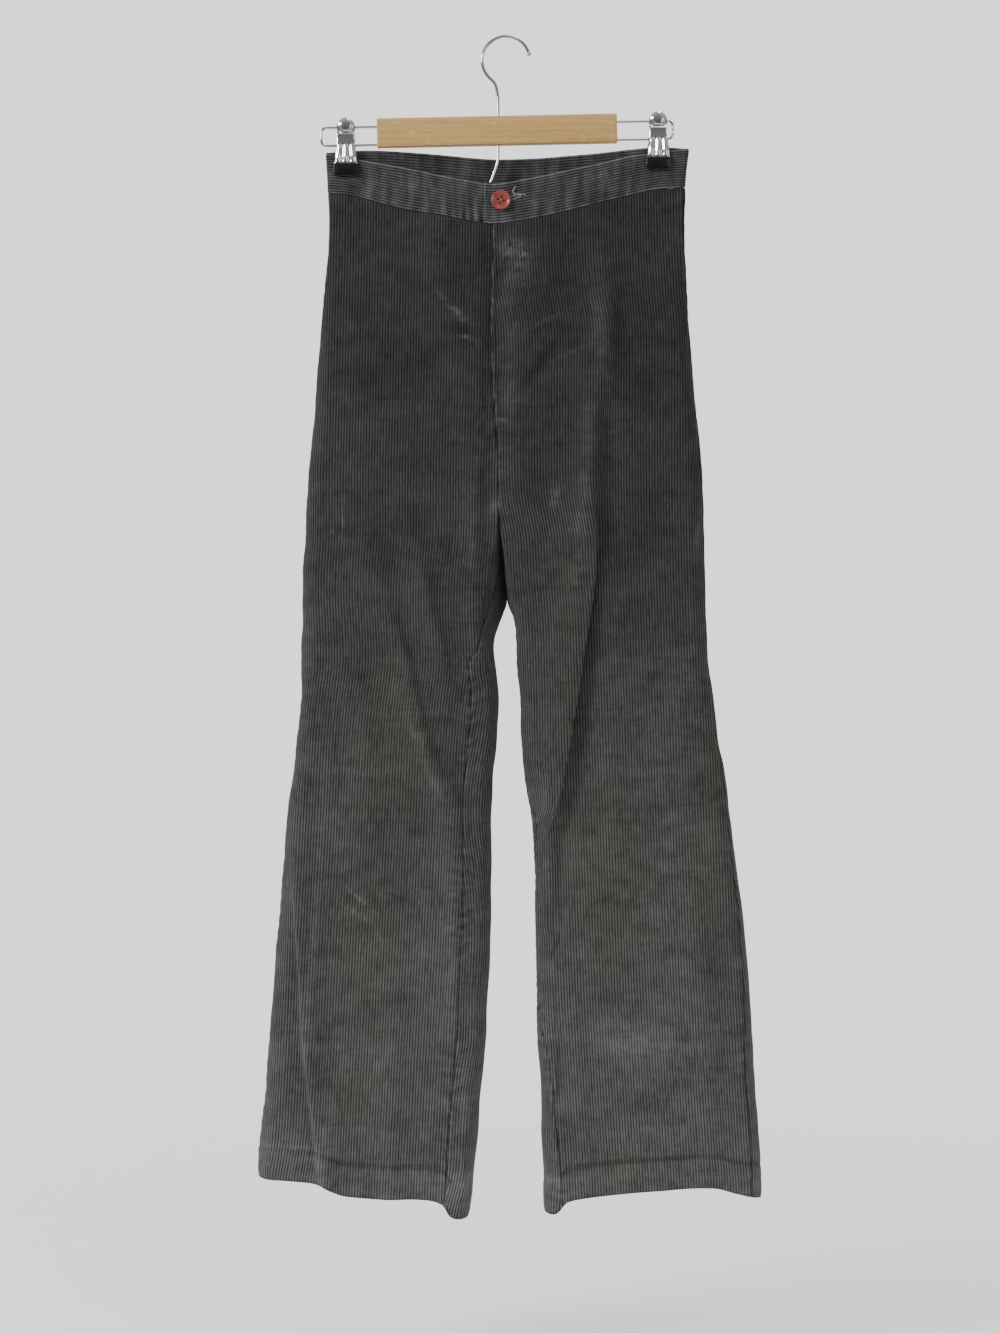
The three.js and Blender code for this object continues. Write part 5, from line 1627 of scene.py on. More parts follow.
def plain(obj: Object) -> Object:
    """Replaces a piece's mesh by the one its modifiers make, and removes them."""
    graph = bpy.context.evaluated_depsgraph_get()
    mesh = bpy.data.meshes.new_from_object(obj.evaluated_get(graph), depsgraph=graph)
    obj.modifiers.clear()
    old, obj.data = obj.data, mesh
    name = old.name
    bpy.data.meshes.remove(old)
    mesh.name = name
    return obj


def bored(obj: Object, cutters: list[MeshData]) -> Object:
    """Cuts closed shapes out of a piece, which gets a new mesh."""
    tools = [cutter.make("cutter", []) for cutter in cutters]
    for tool in tools:
        cut = obj.modifiers.new("cut", "BOOLEAN")
        cut.operation = "DIFFERENCE"
        cut.solver = "EXACT"
        cut.object = tool
    plain(obj)
    for tool in tools:
        bpy.data.objects.remove(tool)
    return obj


def front_place(garment: Garment, x: float, drop: float, lift: float) -> Matrix:
    """The place and turn that seat a piece, made facing up, on the front of the waist or fly.

    Args:
        garment: the cloth's form.
        x: where it goes, across.
        drop: where it goes, down.
        lift: how far out of the cloth's face.

    Returns:
        A matrix in millimetres.
    """

    def spot(px: float, pd: float) -> Vector:
        """A point of the cloth's face."""
        return Vector((px, -float(garment.stand_off(np.float64(px), np.float64(pd), True)), -pd))

    along = spot(x + 1, drop) - spot(x - 1, drop)
    down = spot(x, drop + 1) - spot(x, drop - 1)
    normal = down.cross(along).normalized()
    turn = Vector((0, 0, 1)).rotation_difference(normal).to_matrix().to_4x4()
    return Matrix.Translation(spot(x, drop) + normal * lift) @ turn


BAR_X = -9.0
BAR_DROP = 93.0
BAR_TILT = math.atan(5.0 / 240.0)


def bar_place() -> Matrix:
    """The wooden bar's place, a little higher at the viewer's right."""
    return Matrix.Translation((BAR_X, 0, -BAR_DROP)) @ Matrix.Rotation(-BAR_TILT, 4, "Y")


@dataclass
class WoodBar:
    """The hanger's wooden bar, with bores for the hook's stem and the wires' ends."""

    length: float = 240.0
    height: float = 29.0
    thick: float = 11.0
    corner: float = 2.5
    round: float = 0.9  # how far the rounding of its ends reaches
    stem_at: float = 1.0  # from the bar's middle to the stem
    stem_bore: float = 1.95
    wire_bore: float = 1.6
    wire_levels: tuple[float, float] = (6.5, -11.5)

    def build(self, materials: list[Material]) -> Object:
        """Makes the bar with its bores."""
        end = self.length / 2
        from_ends = np.array([0.0, 0.25, self.round, 2.0, 40.0, 80.0, end])
        across = np.concatenate([from_ends - end, end - from_ends[-2::-1]])
        rings = []
        for x, from_end in zip(across, end - np.abs(across)):
            shrink = 0.8 * (1 - math.sqrt(max(0.0, 1 - (1 - min(from_end / self.round, 1)) ** 2)))
            section = rounded_box(self.thick - 2 * shrink, self.height - 2 * shrink, self.corner)
            rings.append(np.insert(section, 0, x, 1))
        data = MeshData()
        add_rings(data, placed(np.array(rings), bar_place()))
        upright = Matrix.Translation((self.stem_at, 0, 0)) @ Matrix.Rotation(BAR_TILT, 4, "Y")
        bores = [self._bore((0, 0, -20), (0, 0, 20), self.stem_bore, upright)]
        for side in (-1, 1):
            for z in self.wire_levels:
                outer = side * (end + 3)
                bores.append(self._bore((outer, 0, z), (outer - side * 22, 0, z), self.wire_bore))
        return bored(data.make("wooden_bar", materials, sharp=40), bores)

    @staticmethod
    def _bore(start: Point, end: Point, radius: float, turn: Matrix | None = None) -> MeshData:
        """A round cutter between two places on the bar, turned if the bore leans in it."""
        data = MeshData()
        place = bar_place() @ turn if turn else bar_place()
        add_tube(data, placed(np.linspace(start, end, 3), place), radius, 24, tip=0.0)
        return data


@dataclass
class WireLoop:
    """The wire loop that carries a clip at one end of the bar."""

    end: int
    radius: float = 1.25
    tip: float = 175.75  # from the bar's middle to the wire's line at its far end
    start: float = 102.0
    upper: float = 6.5
    lower: float = -11.5
    corner: float = 5.0

    def build(self, name: str, materials: list[Material]) -> Object:
        """Makes the loop."""
        corner, inner = self.corner, self.tip - self.corner
        bend = np.linspace(0, math.pi / 2, 9)[1:-1]
        out, rise = inner + corner * np.cos(bend), corner * np.sin(bend)
        straight = np.linspace(self.start, inner, 5)
        end = np.linspace(self.upper - corner, self.lower + corner, 4)
        x = np.concatenate([straight, out[::-1], np.full(4, self.tip), out, straight[::-1]])
        turned = np.concatenate([self.upper - corner + rise[::-1], end, self.lower + corner - rise])
        z = np.concatenate([np.full(5, self.upper), turned, np.full(5, self.lower)])
        path = np.stack([self.end * x, np.zeros_like(x), z], -1)
        data = MeshData()
        add_tube(data, placed(path, bar_place()), self.radius)
        return data.make(name, materials, sharp=50)


@dataclass
class Hook:
    """The hook: its bend over the rail, its stem through the bar and its bent end at the waist."""

    radius: float = 1.6
    bend: float = 24.0
    ball: float = 2.3
    stem: tuple[float, ...] = (-11, -8.4, -8, -8, -8, -8.5, -12, -16)
    stem_drops: tuple[float, ...] = (46, 57, 70, 90, 112, 124, 135, 146)

    def build(self, materials: list[Material]) -> Object:
        """Makes the hook with the ball at its tip."""
        middle = self.radius - self.bend
        angles = np.radians(np.arange(17, 223, 17))
        spots = [(self.bend * math.cos(a), 0, middle + self.bend * math.sin(a)) for a in angles]
        spots += [(x, 0, -drop) for x, drop in zip(self.stem, self.stem_drops)]
        data = MeshData()
        add_tube(data, path_through(spots, 150), self.radius, 18)
        x, _, z = spots[0]
        angles = np.linspace(0, math.pi, 13)
        profile = [(self.ball * math.sin(a), -self.ball * math.cos(a)) for a in angles]
        add_turned(data, profile, Matrix.Translation((x, 0, z - self.ball / 4)), 24)
        return data.make("wire_hook", materials, sharp=60)


@dataclass
class Clip:
    """One sliding clip: two bent jaws, a coiled spring between them and two dipped tips."""

    x: float
    width: float = 17.6
    flare: float = 22.5
    sheet: float = 1.0
    shoulder: float = 6.4  # height at which the round top begins
    tip_top: float = -30.2
    tip_end: float = -43.0
    tip_width: float = 24.0
    tip_near: float = 3.95  # from the wires' plane to the tip's inside
    tip_corner: float = 4.0
    # The jaw's inside seen from the end of the bar: height and distance from the wires' plane.
    heights: tuple[float, ...] = (15.4, 9, 2.5, -0.4, -3, -5.5, -10, -14, -22, -27, -31.5)
    inside: tuple[float, ...] = (1.62, 1.62, 1.7, 4.3, 4.45, 4.4, 4.5, 4.7, 5.5, 5.4, 5.3)

    def _place(self, facing: int) -> Matrix:
        """The clip's place; facing is 1 for its back and -1 for its front."""
        line = -BAR_DROP + (self.x - BAR_X) * math.tan(BAR_TILT)
        turn = Matrix.Identity(4) if facing > 0 else Matrix.Rotation(math.pi, 4, "Z")
        return Matrix.Translation((self.x, 0, line)) @ turn

    def jaw(self, name: str, facing: int, materials: list[Material]) -> Object:
        """Makes a jaw.

        Args:
            name: the piece's name.
            facing: 1 for the back one and -1 for the front one, which carries the rivet's head.
            materials: its materials.

        Returns:
            The jaw.
        """
        top, low = self.heights[0], self.heights[-1]
        arch = top - 9 * (1 - np.cos(np.linspace(0, math.pi / 2, 12)))
        z = np.concatenate([arch, np.linspace(arch[-1] - 0.8, low, 56)])[:, None]
        u = np.linspace(-1, 1, 41)
        above = np.maximum(z - self.shoulder, 0)
        half = np.sqrt(np.maximum((top + 0.1 - self.shoulder) ** 2 - above**2, 0.3))
        half = mix(np.minimum(half, self.width / 2), self.flare / 2, ease(-8, -27, z))
        x = half * u
        z = z + 0 * u
        flutes = ease(9.5, 13.5, -z) * (1 - ease(27.5, 29.5, -z))
        wave = 0.85 * flutes * np.cos(TURN * u * 1.5) * (1 - u**8)
        rolled = 0.55 * np.abs(u) ** 14
        near = Curve([-at for at in self.heights], self.inside)(-z) + wave - rolled * ease(-4, 3, -z)
        place = self._place(facing)
        data = MeshData()
        grids = []
        for grid in (np.stack([x, near + self.sheet, z], -1), np.stack([x * 0.985, near, z], -1)):
            first = data.add_points(placed(grid, place).reshape(-1, 3))
            grids.append(first + np.arange(x.size).reshape(x.shape))
        data.add_wall(grids)
        if facing < 0:
            self._rivet(data, place)
        jaw = data.make(name, materials, sharp=45)
        face_outwards(jaw)
        return jaw

    def _rivet(self, data: MeshData, place: Matrix) -> None:
        """Adds the domed head of the clip's rivet to the front jaw."""
        seat = place @ Matrix.Translation((0, 2.3, 8.4)) @ Matrix.Rotation(-math.pi / 2, 4, "X")
        profile = [(0, 0), (7.6, 0), (7.7, 0.25), (7.7, 0.9), (7.45, 1.2), (6.9, 1.3), (6.5, 1.7), (6.1, 2.4)]
        profile += [(5.2, 2.95), (3.9, 3.32), (2.2, 3.52), (1.0, 3.58), (0, 3.6)]
        add_turned(data, profile, seat, 44)

    def tip(self, name: str, facing: int, materials: list[Material]) -> Object:
        """Makes a dipped tip, rounded at its lower corners and a little at every edge."""
        height = self.tip_top - self.tip_end
        outline = rounded_box(self.tip_width, height, self.tip_corner, 8)
        upper = outline[:, 1] > 0
        square = rounded_box(self.tip_width, height, 1.2, 8)
        outline[upper] = square[upper]
        middle = (self.tip_top + self.tip_end) / 2
        rings = []
        for deep, inset in ((0, 0.7), (0.2, 0.25), (0.6, 0), (1.8, -0.12), (3.0, 0), (3.4, 0.25), (3.6, 0.7)):
            spots = outline * (1 - inset / np.array([self.tip_width / 2, height / 2])) + (0, middle)
            rings.append(np.insert(spots, 1, self.tip_near + deep, 1))
        data = MeshData()
        add_rings(data, placed(np.array(rings), self._place(facing)))
        tip = data.make(name, materials, sharp=60)
        face_outwards(tip)
        return tip

    def spring(self, name: str, materials: list[Material]) -> Object:
        """Makes the coiled spring between the jaws, round the clip's pivot."""
        turns, coil, wire, reach = 7, 3.3, 0.68, 6.2
        angle = np.linspace(0, TURN * turns, turns * 18 + 1)
        x = np.linspace(-reach, reach, len(angle))
        path = np.stack([x, coil * np.cos(angle), coil * np.sin(angle) - 3], -1)
        data = MeshData()
        add_tube(data, placed(path, self._place(1)), wire, 8)
        return data.make(name, materials)


def face_outwards(obj: Object) -> None:
    """Turns a closed mesh's faces outwards if its volume comes out negative."""
    mesh = obj.data
    spots = np.zeros(len(mesh.vertices) * 3)
    mesh.vertices.foreach_get("co", spots)
    spots = spots.reshape(-1, 3)
    corners = np.zeros(len(mesh.loops), int)
    mesh.loops.foreach_get("vertex_index", corners)
    a, b, c = spots[corners.reshape(-1, 3)].transpose(1, 0, 2)
    if np.einsum("ij,ij->i", a, np.cross(b, c)).sum() < 0:
        mesh.flip_normals()


@dataclass
class Button:
    """The waist button: a disc with a raised rim and four holes, and the thread that holds it."""

    garment: Garment
    radius: float = 9.7
    thick: float = 3.0
    shank: float = 1.4
    spread: float = 2.1
    turn: float = 0.5
    hole: float = 1.15

    def disc(self, materials: list[Material]) -> Object:
        """Makes the disc."""
        r, t = self.radius, self.thick
        profile = [(0, 0), (r - 2.2, 0), (r - 1.0, 0.35), (r - 0.25, 1.0), (r, 1.7), (r - 0.05, t - 0.5)]
        profile += [(r - 0.35, t - 0.12), (r - 0.9, t), (r - 1.7, t - 0.1), (r - 2.3, t - 0.5)]
        profile += [(r - 3.0, t - 0.95), (r - 4.2, t - 1.15), (3.4, t - 1.1), (2.4, t - 1.05), (0.9, t - 1.0), (0, t - 1.0)]
        place = front_place(self.garment, *BUTTON_AT, BAND_PROUD + self.shank)
        data = MeshData()
        add_turned(data, profile, place, 56)
        disc = data.make("sewn_button", materials, sharp=50)
        face_outwards(disc)
        bores = [MeshData() for _ in range(4)]
        for bore, (x, y) in zip(bores, self._holes()):
            path = placed(np.array([(x, y, -3.0), (x, y, 1.0), (x, y, 6.0)]), place)
            add_tube(bore, path, self.hole, 20, tip=0.0)
        return bored(disc, bores)

    def _holes(self) -> list[tuple[float, float]]:
        """The holes' places on the disc."""
        c, s = math.cos(self.turn), math.sin(self.turn)
        corners = [(a * self.spread, b * self.spread) for a in (-1, 1) for b in (-1, 1)]
        return [(c * a - s * b, s * a + c * b) for a, b in corners]

    def thread(self, materials: list[Material]) -> Object:
        """Makes the shank and the two lays of thread through the holes."""
        place = front_place(self.garment, *BUTTON_AT, 0)
        data = MeshData()
        low, high = BAND_PROUD - BAND_LAYER + LAY_GAP, BAND_PROUD + self.shank - 0.1
        add_turned(data, [(0, low), (1.6, low), (1.45, -1.0), (1.5, high), (0, high)], place, 14)
        face = BAND_PROUD + self.shank + self.thick - 1.0
        holes = np.array(self._holes())
        inner = 1 - 0.8 * self.hole / (self.spread * math.sqrt(2))
        for k, (a, b) in enumerate(((0, 3), (1, 2))):
            for strand in (-0.22, 0.22):
                reach = (inner, inner * 0.94, 0, inner * 0.94, inner)
                heights = (face - 2.0, face + 0.2, face + 0.42 + 0.1 * k, face + 0.2, face - 2.0)
                ends = (a, a, a, b, b)
                spots = [(*(holes[i] * r + (strand, 0)), z) for i, r, z in zip(ends, reach, heights)]
                add_tube(data, placed(path_through(spots, 22), place), 0.2, 8)
        return data.make("button_stitching", materials)


class Repeat(Enum):
    """The small shapes that are repeated along a line."""

    STITCH = "stitch"
    TOOTH = "tooth"


@dataclass(frozen=True)
class Run:
    """A run of stitches or teeth along a line: how far apart they are, and their size."""

    pitch: float
    length: float
    width: float
    thick: float
    turn: float = 0.0  # degrees from the line
    uneven: float = 0.12
    stagger: float = 0.0


def repeat_tree(kind: Repeat) -> GeometryNodeTree:
    """The node tree that sets small shapes along a line's edges.

    Args:
        kind: which shape.

    Returns:
        The tree, whose inputs are in metres and degrees.
    """
    tree = bpy.data.node_groups.new(kind.value + "_row", "GeometryNodeTree")
    t = Tree(tree)
    takes = {"Geometry": "Geometry", "Seed": "Int", "Material": "Material"}
    takes |= dict.fromkeys(("Pitch", "Length", "Width", "Thick", "Turn", "Uneven", "Stagger"), "Float")
    for label, socket in takes.items():
        tree.interface.new_socket(label, in_out="INPUT", socket_type="NodeSocket" + socket)
    tree.interface.new_socket("Geometry", in_out="OUTPUT", socket_type="NodeSocketGeometry")
    inputs = t.node("NodeGroupInput").outputs
    curve = t.node("GeometryNodeMeshToCurve", {"Mesh": inputs["Geometry"]}).outputs[0]
    spots = t.node("GeometryNodeCurveToPoints", {"Curve": curve, "Length": inputs["Pitch"]}, mode="LENGTH")
    values = {"Vector": spots.outputs["Tangent"], "Axis": (0, 1, 0), "Angle": t.math("RADIANS", inputs["Turn"])}
    heading = t.node("ShaderNodeVectorRotate", values, rotation_type="AXIS_ANGLE").outputs[0]
    aligned = t.node("FunctionNodeAlignRotationToVector", {"Vector": heading}, axis="X").outputs[0]
    if kind is Repeat.STITCH:
        shape = t.node("GeometryNodeMeshUVSphere", {"Segments": 8, "Rings": 4, "Radius": 0.5}).outputs[0]
        smooth = t.node("GeometryNodeSetShadeSmooth", {0: shape}).outputs[0]
    else:
        smooth = t.node("GeometryNodeMeshCube", {"Size": (1, 1, 1)}).outputs[0]
    index = t.node("GeometryNodeInputIndex").outputs[0]
    vary = {2: 0.0, 3: 1.0, "ID": index, "Seed": inputs["Seed"]}
    drawn = t.node("FunctionNodeRandomValue", vary, data_type="FLOAT").outputs[1]
    swing = t.times(t.math("SUBTRACT", drawn, 0.5), inputs["Uneven"])
    longer = t.times(inputs["Length"], t.math("ADD", 1.0, swing))
    scale = t.node("ShaderNodeCombineXYZ", {0: longer, 1: inputs["Width"], 2: inputs["Thick"]}).outputs[0]
    values = {"Points": spots.outputs["Points"], "Instance": smooth, "Rotation": aligned, "Scale": scale}
    instances = t.node("GeometryNodeInstanceOnPoints", values).outputs[0]
    odd = t.math("SUBTRACT", t.times(t.math("MODULO", index, 2.0), 2.0), 1.0)
    shift = t.node("ShaderNodeCombineXYZ", {0: t.times(odd, inputs["Stagger"])}).outputs[0]
    values = {"Instances": instances, "Translation": shift, "Local Space": False}
    instances = t.node("GeometryNodeTranslateInstances", values).outputs[0]
    real = t.node("GeometryNodeRealizeInstances", {"Geometry": instances}).outputs[0]
    finished = t.node("GeometryNodeSetMaterial", {"Geometry": real, "Material": inputs["Material"]}).outputs[0]
    t.node("NodeGroupOutput", {"Geometry": finished})
    return tree


def run_along(name: str, lines: list[Array], run: Run, tree: GeometryNodeTree, material: Material) -> Object:
    """Makes the stitches or teeth along some lines.

    Args:
        name: the piece's name.
        lines: each line's points, in millimetres.
        run: their spacing and size.
        tree: the node tree that sets them.
        material: their material.

    Returns:
        One plain mesh object.
    """
    mesh = bpy.data.meshes.new(name)
    starts = np.cumsum([0] + [len(line) for line in lines]).tolist()
    edges = [(n, n + 1) for start, end in zip(starts, starts[1:]) for n in range(start, end - 1)]
    mesh.from_pydata(np.concatenate(lines) * MM, edges, [])
    obj = in_scene(name, mesh)
    row = obj.modifiers.new("row", "NODES")
    row.node_group = tree
    sizes = ("pitch", "length", "width", "thick", "stagger")
    values = {size.title(): getattr(run, size) * MM for size in sizes}
    values |= {"Turn": run.turn, "Uneven": run.uneven, "Seed": 7, "Material": material}
    for item in tree.interface.items_tree:
        if item.in_out == "INPUT" and item.name in values:
            row[item.identifier] = values[item.name]
    obj.update_tag()
    return plain(obj)


@dataclass
class Sewing:
    """All the stitching that shows on the trousers."""

    garment: Garment
    tree: GeometryNodeTree
    top: Run = Run(2.9, 2.5, 0.6, 0.5)
    close: Run = Run(0.85, 2.4, 0.5, 0.55, turn=90.0, uneven=0.45)
    tack: Run = Run(0.8, 4.6, 0.55, 0.6, turn=90.0, uneven=0.2)

    def _front(self, x: float, drop: float, lift: float) -> Array:
        """A point on the front of the waist or fly."""
        return np.array(front_place(self.garment, x, drop, lift).translation)

    def band_end(self) -> list[Array]:
        """Two rows down the band's upper end."""
        drops = np.linspace(150, 184, 14)
        return [np.array([self._front(x, drop, BAND_PROUD + 0.35) for drop in drops]) for x in (-20.6, -17.4)]

    def fly_curve(self) -> list[Array]:
        """The curved row that holds the fly, down to its bar tack."""
        spots = [(9, 365), (18, 358), (26, 346), (32, 330), (36, 310), (38, 285)]
        spots += [(39, 255), (39, 225), (39, 196)]
        fine = path_through([(x, drop, 0) for x, drop in spots], 80)
        lift = self.garment.front_folds(fine[:, 0], fine[:, 1])[0] - 0.2
        return [np.array([self._front(x, drop, out) for (x, drop, _), out in zip(fine, lift)])]

    def buttonhole(self) -> list[Array]:
        """The line round the slot's narrow end, which shows beside the button."""
        place = front_place(self.garment, *BUTTON_AT, BAND_PROUD + 0.25) @ SLOT_TURN
        ring = [(5, 1.5), (12, 1.3), (19.2, 1.5), (20.6, 0.4), (19.2, -0.9), (12, -1.7), (5, -2.3)]
        return [placed(path_through([(x, y, 0) for x, y in ring], 60), place)]

    def bar_tack(self) -> list[Array]:
        """The short dense row at the foot of the fly."""
        spots = [(-10.0, 383.0), (-4.0, 384.2), (1.5, 385.0)]
        return [np.array([self._front(x, drop, 1.2) for x, drop in spots])]

    def hem_row(self, half: Half) -> list[Array]:
        """The row that holds a hem, all the way round the leg."""
        turns = np.linspace(0, ROUND, 321)
        x = self.garment.cloth(half, turns, np.full_like(turns, HEM_LINE))[:, 0]
        line = edge_drops(turns, x)[1] - HEM_DEPTH
        base = self.garment.cloth(half, turns, line)
        return [base + self.garment.outward(half, turns, line) * -0.55]

    def build(self, thread: Material, cord_thread: Material) -> dict[str, Object]:
        """Makes every row of stitches.

        Args:
            thread: the pale thread of the buttonhole.
            cord_thread: the thread that matches the cord.

        Returns:
            The pieces by name.
        """
        rows = {
            "band": (self.band_end(), self.top, cord_thread),
            "fly": (self.fly_curve(), self.top, cord_thread),
            "buttonhole": (self.buttonhole(), self.close, thread),
            "tack": (self.bar_tack(), self.tack, cord_thread),
        }
        rows |= {"hem_" + half.value: (self.hem_row(half), self.top, cord_thread) for half in Half}
        return {
            "stitching_" + key: run_along("stitching_" + key, lines, run, self.tree, material)
            for key, (lines, run, material) in rows.items()
        }

    def frays(self, material: Material) -> Object:
        """Makes the loose ends of thread beside the buttonhole."""
        data = MeshData()
        curls = (
            ((9.4, 150.6, 1.4), (8.2, 152.8, 1.9), (6.6, 155.6, 1.7), (7.4, 158.2, 1.3), (11.6, 158.8, 1.0)),
            ((9.8, 151.2, 1.2), (8.5, 153.6, 1.5), (7.2, 156.2, 1.4), (8.6, 159.4, 1.1)),
            ((10.8, 158.2, 1.0), (14, 159.4, 1.3), (17, 158.6, 1.2), (19.6, 160.2, 1.0)),
        )
        for curl in curls:
            spots = [tuple(self._front(x, drop, BAND_PROUD + lift)) for x, drop, lift in curl]
            add_tube(data, path_through(spots, 20), 0.28, 7)
        return data.make("stitching_frays", [material])


@dataclass
class Zip:
    """The closed zip's chain of teeth, behind the fly."""

    garment: Garment
    x: float = 9.5
    top: float = 203.0
    end: float = 368.0
    depth: float = LAYER + CLOTH + 1.9

    def build(self, tree: GeometryNodeTree, material: Material) -> Object:
        """Makes the teeth, set alternately from each side."""
        line = []
        for drop in np.linspace(self.top, self.end, 90):
            bend = (level["left_front"](drop) - level["left_front"](self.top)) * ease(340, FLY_END, drop)
            place = front_place(self.garment, self.x + float(bend), drop, -self.depth)
            line.append(np.array(place.translation))
        size = Run(1.3, 0.85, 3.4, 1.3, uneven=0.0, stagger=0.7)
        return run_along("zip_teeth", [np.array(line)], size, tree, material)


@dataclass(frozen=True)
class Studio:
    """The pale floor, the lights, the pale surroundings and the camera."""

    floor: float = -1.33
    reach: float = 2.4
    distance: float = 2.6
    eye: tuple[float, float] = (-0.006, -0.6285)
    frame_height: float = 1.333

    def ground(self, material: Material) -> Object:
        """Makes the floor."""
        r, z = self.reach, self.floor
        mesh = bpy.data.meshes.new("floor")
        mesh.from_pydata([(-r, -r, z), (r, -r, z), (r, r, z), (-r, r, z)], [], [(0, 1, 2, 3)])
        mesh.materials.append(material)
        return in_scene("floor", mesh)

    def _area(self, name: str, place: Point, size: float, power: float) -> None:
        """Adds a soft square light that faces the middle of the trousers."""
        light = bpy.data.lights.new(name, "AREA")
        light.energy = power
        light.size = size
        obj = in_scene(name, light)
        obj.location = place
        aim = Vector((self.eye[0], 0, self.eye[1])) - Vector(place)
        obj.rotation_euler = aim.to_track_quat("-Z", "Y").to_euler()

    def light(self) -> None:
        """Adds the lights and the pale surroundings."""
        self._area("key", (-2.3, -1.5, 0.8), 0.9, 74.0)
        self._area("fill", (2.2, -2.4, -0.2), 1.6, 17.0)
        self._area("rim", (0.6, -0.5, 2.2), 1.0, 16.0)
        world = bpy.data.worlds.new("pale")
        bpy.context.scene.world = world
        world.use_nodes = True
        t = Tree(world.node_tree)
        way = t.node("ShaderNodeSeparateXYZ", {0: t.node("ShaderNodeTexCoord").outputs["Generated"]}).outputs
        ahead = t.math("ADD", t.span(way[1], -1.0, 0.2), t.span(way[2], -0.1, 0.7, 0, 0.5), True)
        room = t.mix_color(ahead, (0.14, 0.14, 0.143, 1), (0.6, 0.61, 0.63, 1))
        seen = t.node("ShaderNodeLightPath").outputs["Is Camera Ray"]
        color = t.mix_color(seen, room, (1.6, 1.6, 1.6, 1))
        background = t.node("ShaderNodeBackground", {"Color": color})
        t.node("ShaderNodeOutputWorld", {"Surface": background.outputs[0]})

    def camera(self) -> None:
        """Adds the camera at the photograph's viewing angle and makes it the scene's."""
        data = bpy.data.cameras.new("camera")
        data.sensor_width = 36.0
        data.lens = data.sensor_width * self.distance / self.frame_height
        obj = in_scene("camera", data)
        obj.location = (self.eye[0], -self.distance, self.eye[1])
        obj.rotation_euler = (math.pi / 2, 0, 0)
        bpy.context.scene.camera = obj


@dataclass(frozen=True)
class FloorFinish:
    """Pale matt paper that fades into the pale surroundings, and isn't seen from below."""

    name: str
    color: Color
    glow: float = 0.6
    fade: tuple[float, float] = (0.4, 2.0)

    def make(self) -> Material:
        """Makes the material."""
        material, t, shader = new_material(self.name)
        place = t.place()
        flat = t.node("ShaderNodeVectorMath", {0: place, 1: (1, 1, 0)}, operation="MULTIPLY").outputs[0]
        away = t.node("ShaderNodeVectorMath", {0: flat}, operation="LENGTH").outputs["Value"]
        above = t.math("SUBTRACT", 1.0, t.node("ShaderNodeNewGeometry").outputs["Backfacing"])
        finish = {
            "Base Color": t.mix_color(t.noise(place, 3.0), self.color, grey(self.color[0] * 1.02)),
            "Roughness": 0.9,
            "Alpha": t.times(t.span(away, *self.fade, 1, 0), above),
            "Emission Color": (1, 1, 1, 1),
            "Emission Strength": self.glow,
        }
        t.put(shader, finish)
        return material


RED: Color = (0.33, 0.062, 0.048, 1)
DARK_RED: Color = (0.24, 0.042, 0.034, 1)


def make_materials() -> dict[str, Material]:
    """Makes every material, by a short name."""
    nap, mottle = nap_group(), mottle_group()
    finishes = {
        "cord": CordFinish("corduroy", nap),
        # The band's paler tone is painted light: its ribs run sideways and catch the light more than the legs'
        # ribs.
        "band": CordFinish("corduroy_band_painted_lighter", nap, groove=0.003, upper=0.075, lower=0.1, worn=0.26),
        "backing": BackingFinish("cord_inside", grey(0.03, 0.01)),
        "tape": BackingFinish("zip_tape_weave", grey(0.018), threads=0.0011),
        "wood": WoodFinish("varnished_wood", mottle),
        "chrome": HardFinish("bright_chrome", mottle, grey(0.66), grey(0.56), (0.07, 0.16), 1.0, bump=0.02),
        "vinyl": HardFinish("black_vinyl", mottle, grey(0.005), grey(0.003), (0.2, 0.34), bump=0.04),
        "brass": HardFinish("dull_brass", mottle, (0.5, 0.36, 0.13, 1), (0.36, 0.25, 0.09, 1), (0.3, 0.5), 1.0),
        "button": HardFinish("red_button", mottle, RED, DARK_RED, (0.26, 0.38), coat=0.2, bump=0.03),
        "thread": HardFinish("dark_thread", mottle, grey(0.1), grey(0.06), (0.7, 0.9), bump=0.2),
        "pale_thread": HardFinish("pale_thread", mottle, grey(0.42, 0.03), grey(0.25, 0.02), (0.7, 0.9), bump=0.2),
        "button_thread": HardFinish("button_thread", mottle, (0.3, 0.17, 0.17, 1), (0.2, 0.1, 0.1, 1), (0.7, 0.9)),
        "stage": FloorFinish("pale_paper", grey(0.84)),
    }
    return {name: finish.make() for name, finish in finishes.items()}


def settle(obj: Object, slot: str, *nodes: str) -> Object:
    """Fixes a piece to the model, in place of some of its nodes.

    Args:
        obj: the piece.
        slot: the name of the record's material that the piece matches, which only goes into the log.
        *nodes: the nodes it stands for.

    Returns:
        The piece.
    """
    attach(obj, "root")
    if nodes:
        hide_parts(*nodes)
    LOG.info("%s: %d faces, slot %s", obj.name, len(obj.data.polygons), slot)
    return obj


def build_cloth(garment: Garment, m: dict[str, Material]) -> dict[str, Object]:
    """Makes the panels, the hems' turnings and the band.

    Args:
        garment: the cloth's form.
        m: the materials.

    Returns:
        The pieces by the nodes they stand for.
    """
    made = {}
    for half in Half:
        for is_front in (True, False):
            panel = Panel(garment, half, is_front)
            made[panel.node] = settle(panel.build([m["cord"], m["backing"]]), "corduroy", panel.node)
        name = "hem_" + half.value
        turning = HemTurning(garment, half).build([m["cord"]])
        turning.name = "turned_" + name
        made[name] = settle(turning, "corduroy", name)
    band = Waistband(garment).build([m["band"]])
    made["waistband"] = settle(bored(band, [buttonhole_cutter(garment)]), "corduroy", "waistband")
    return made


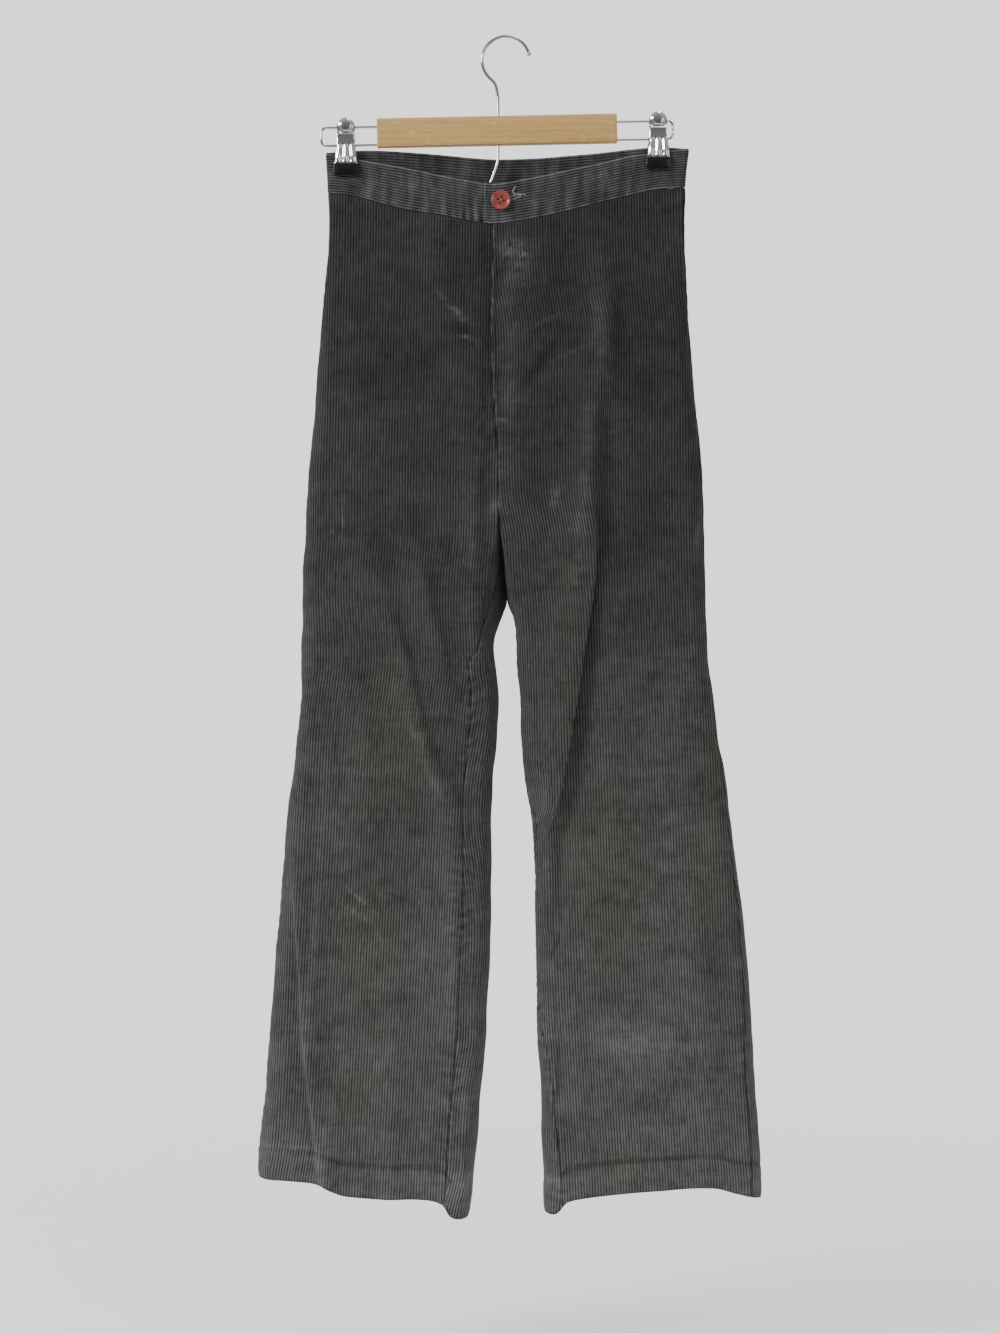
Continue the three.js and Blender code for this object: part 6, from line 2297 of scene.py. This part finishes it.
def buttonhole_cutter(garment: Garment) -> MeshData:
    """The shape of the slot through the band's upper end."""
    slot = np.array([(-2.2, 2), (-2.2, -2), (3, -2), (19.5, -0.4), (19.5, 0.9), (3, 2)])
    place = front_place(garment, *BUTTON_AT, 0) @ SLOT_TURN
    rings = [np.column_stack([slot, np.full(len(slot), z)]) for z in (-2.75, 3.0)]
    data = MeshData()
    add_rings(data, placed(np.array(rings), place))
    return data


def build_hanger(garment: Garment, m: dict[str, Material]) -> None:
    """Makes the bar, the wires, the clips and the hook."""
    settle(WoodBar().build([m["wood"]]), "wood", "hanger_bar")
    settle(Hook().build([m["chrome"]]), "chromed_wire", "hook")
    for end, side in ((-1, "left"), (1, "right")):
        settle(WireLoop(end).build("loop_" + side, [m["chrome"]]), "chromed_wire", "wire_" + side)
        clip = Clip(-4.0 + end * 156.0)
        for facing, face in ((1, "back"), (-1, "front")):
            jaw = clip.jaw(f"jaw_{side}_{face}", facing, [m["chrome"]])
            settle(jaw, "chromed_wire", f"clip_{side}_{face}")
            tip = clip.tip(f"dipped_{side}_{face}", facing, [m["vinyl"]])
            settle(tip, "vinyl", f"clip_{side}_tip_{face}")
        settle(clip.spring(f"coil_{side}", [m["chrome"]]), "chromed_wire", f"clip_{side}_spring")


def main() -> None:
    """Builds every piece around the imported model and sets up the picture."""
    logging.basicConfig(level=logging.INFO, format="%(message)s")
    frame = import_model()
    m = make_materials()
    garment = Garment()
    cloth = build_cloth(garment, m)
    button = Button(garment)
    settle(button.disc([m["button"]]), "button_plastic", "button")
    settle(button.thread([m["button_thread"]]), "thread", "button_thread")
    sewing = Sewing(garment, repeat_tree(Repeat.STITCH))
    rows = sewing.build(m["pale_thread"], m["thread"])
    rows["stitching_frays"] = sewing.frays(m["pale_thread"])
    for row in rows.values():
        settle(row, "thread")
    settle(Zip(garment).build(repeat_tree(Repeat.TOOTH), m["brass"]), "zip_metal", "zip_chain")
    build_hanger(garment, m)
    for name, key in (("zip_tape", "tape"), ("zip_slider", "brass")):
        node = frame["nodes"][name]
        node.data.materials.clear()
        node.data.materials.append(m[key])
    studio = Studio()
    studio.ground(m["stage"])
    studio.light()
    studio.camera()
    bpy.context.view_layer.update()


if __name__ == "__main__":
    main()
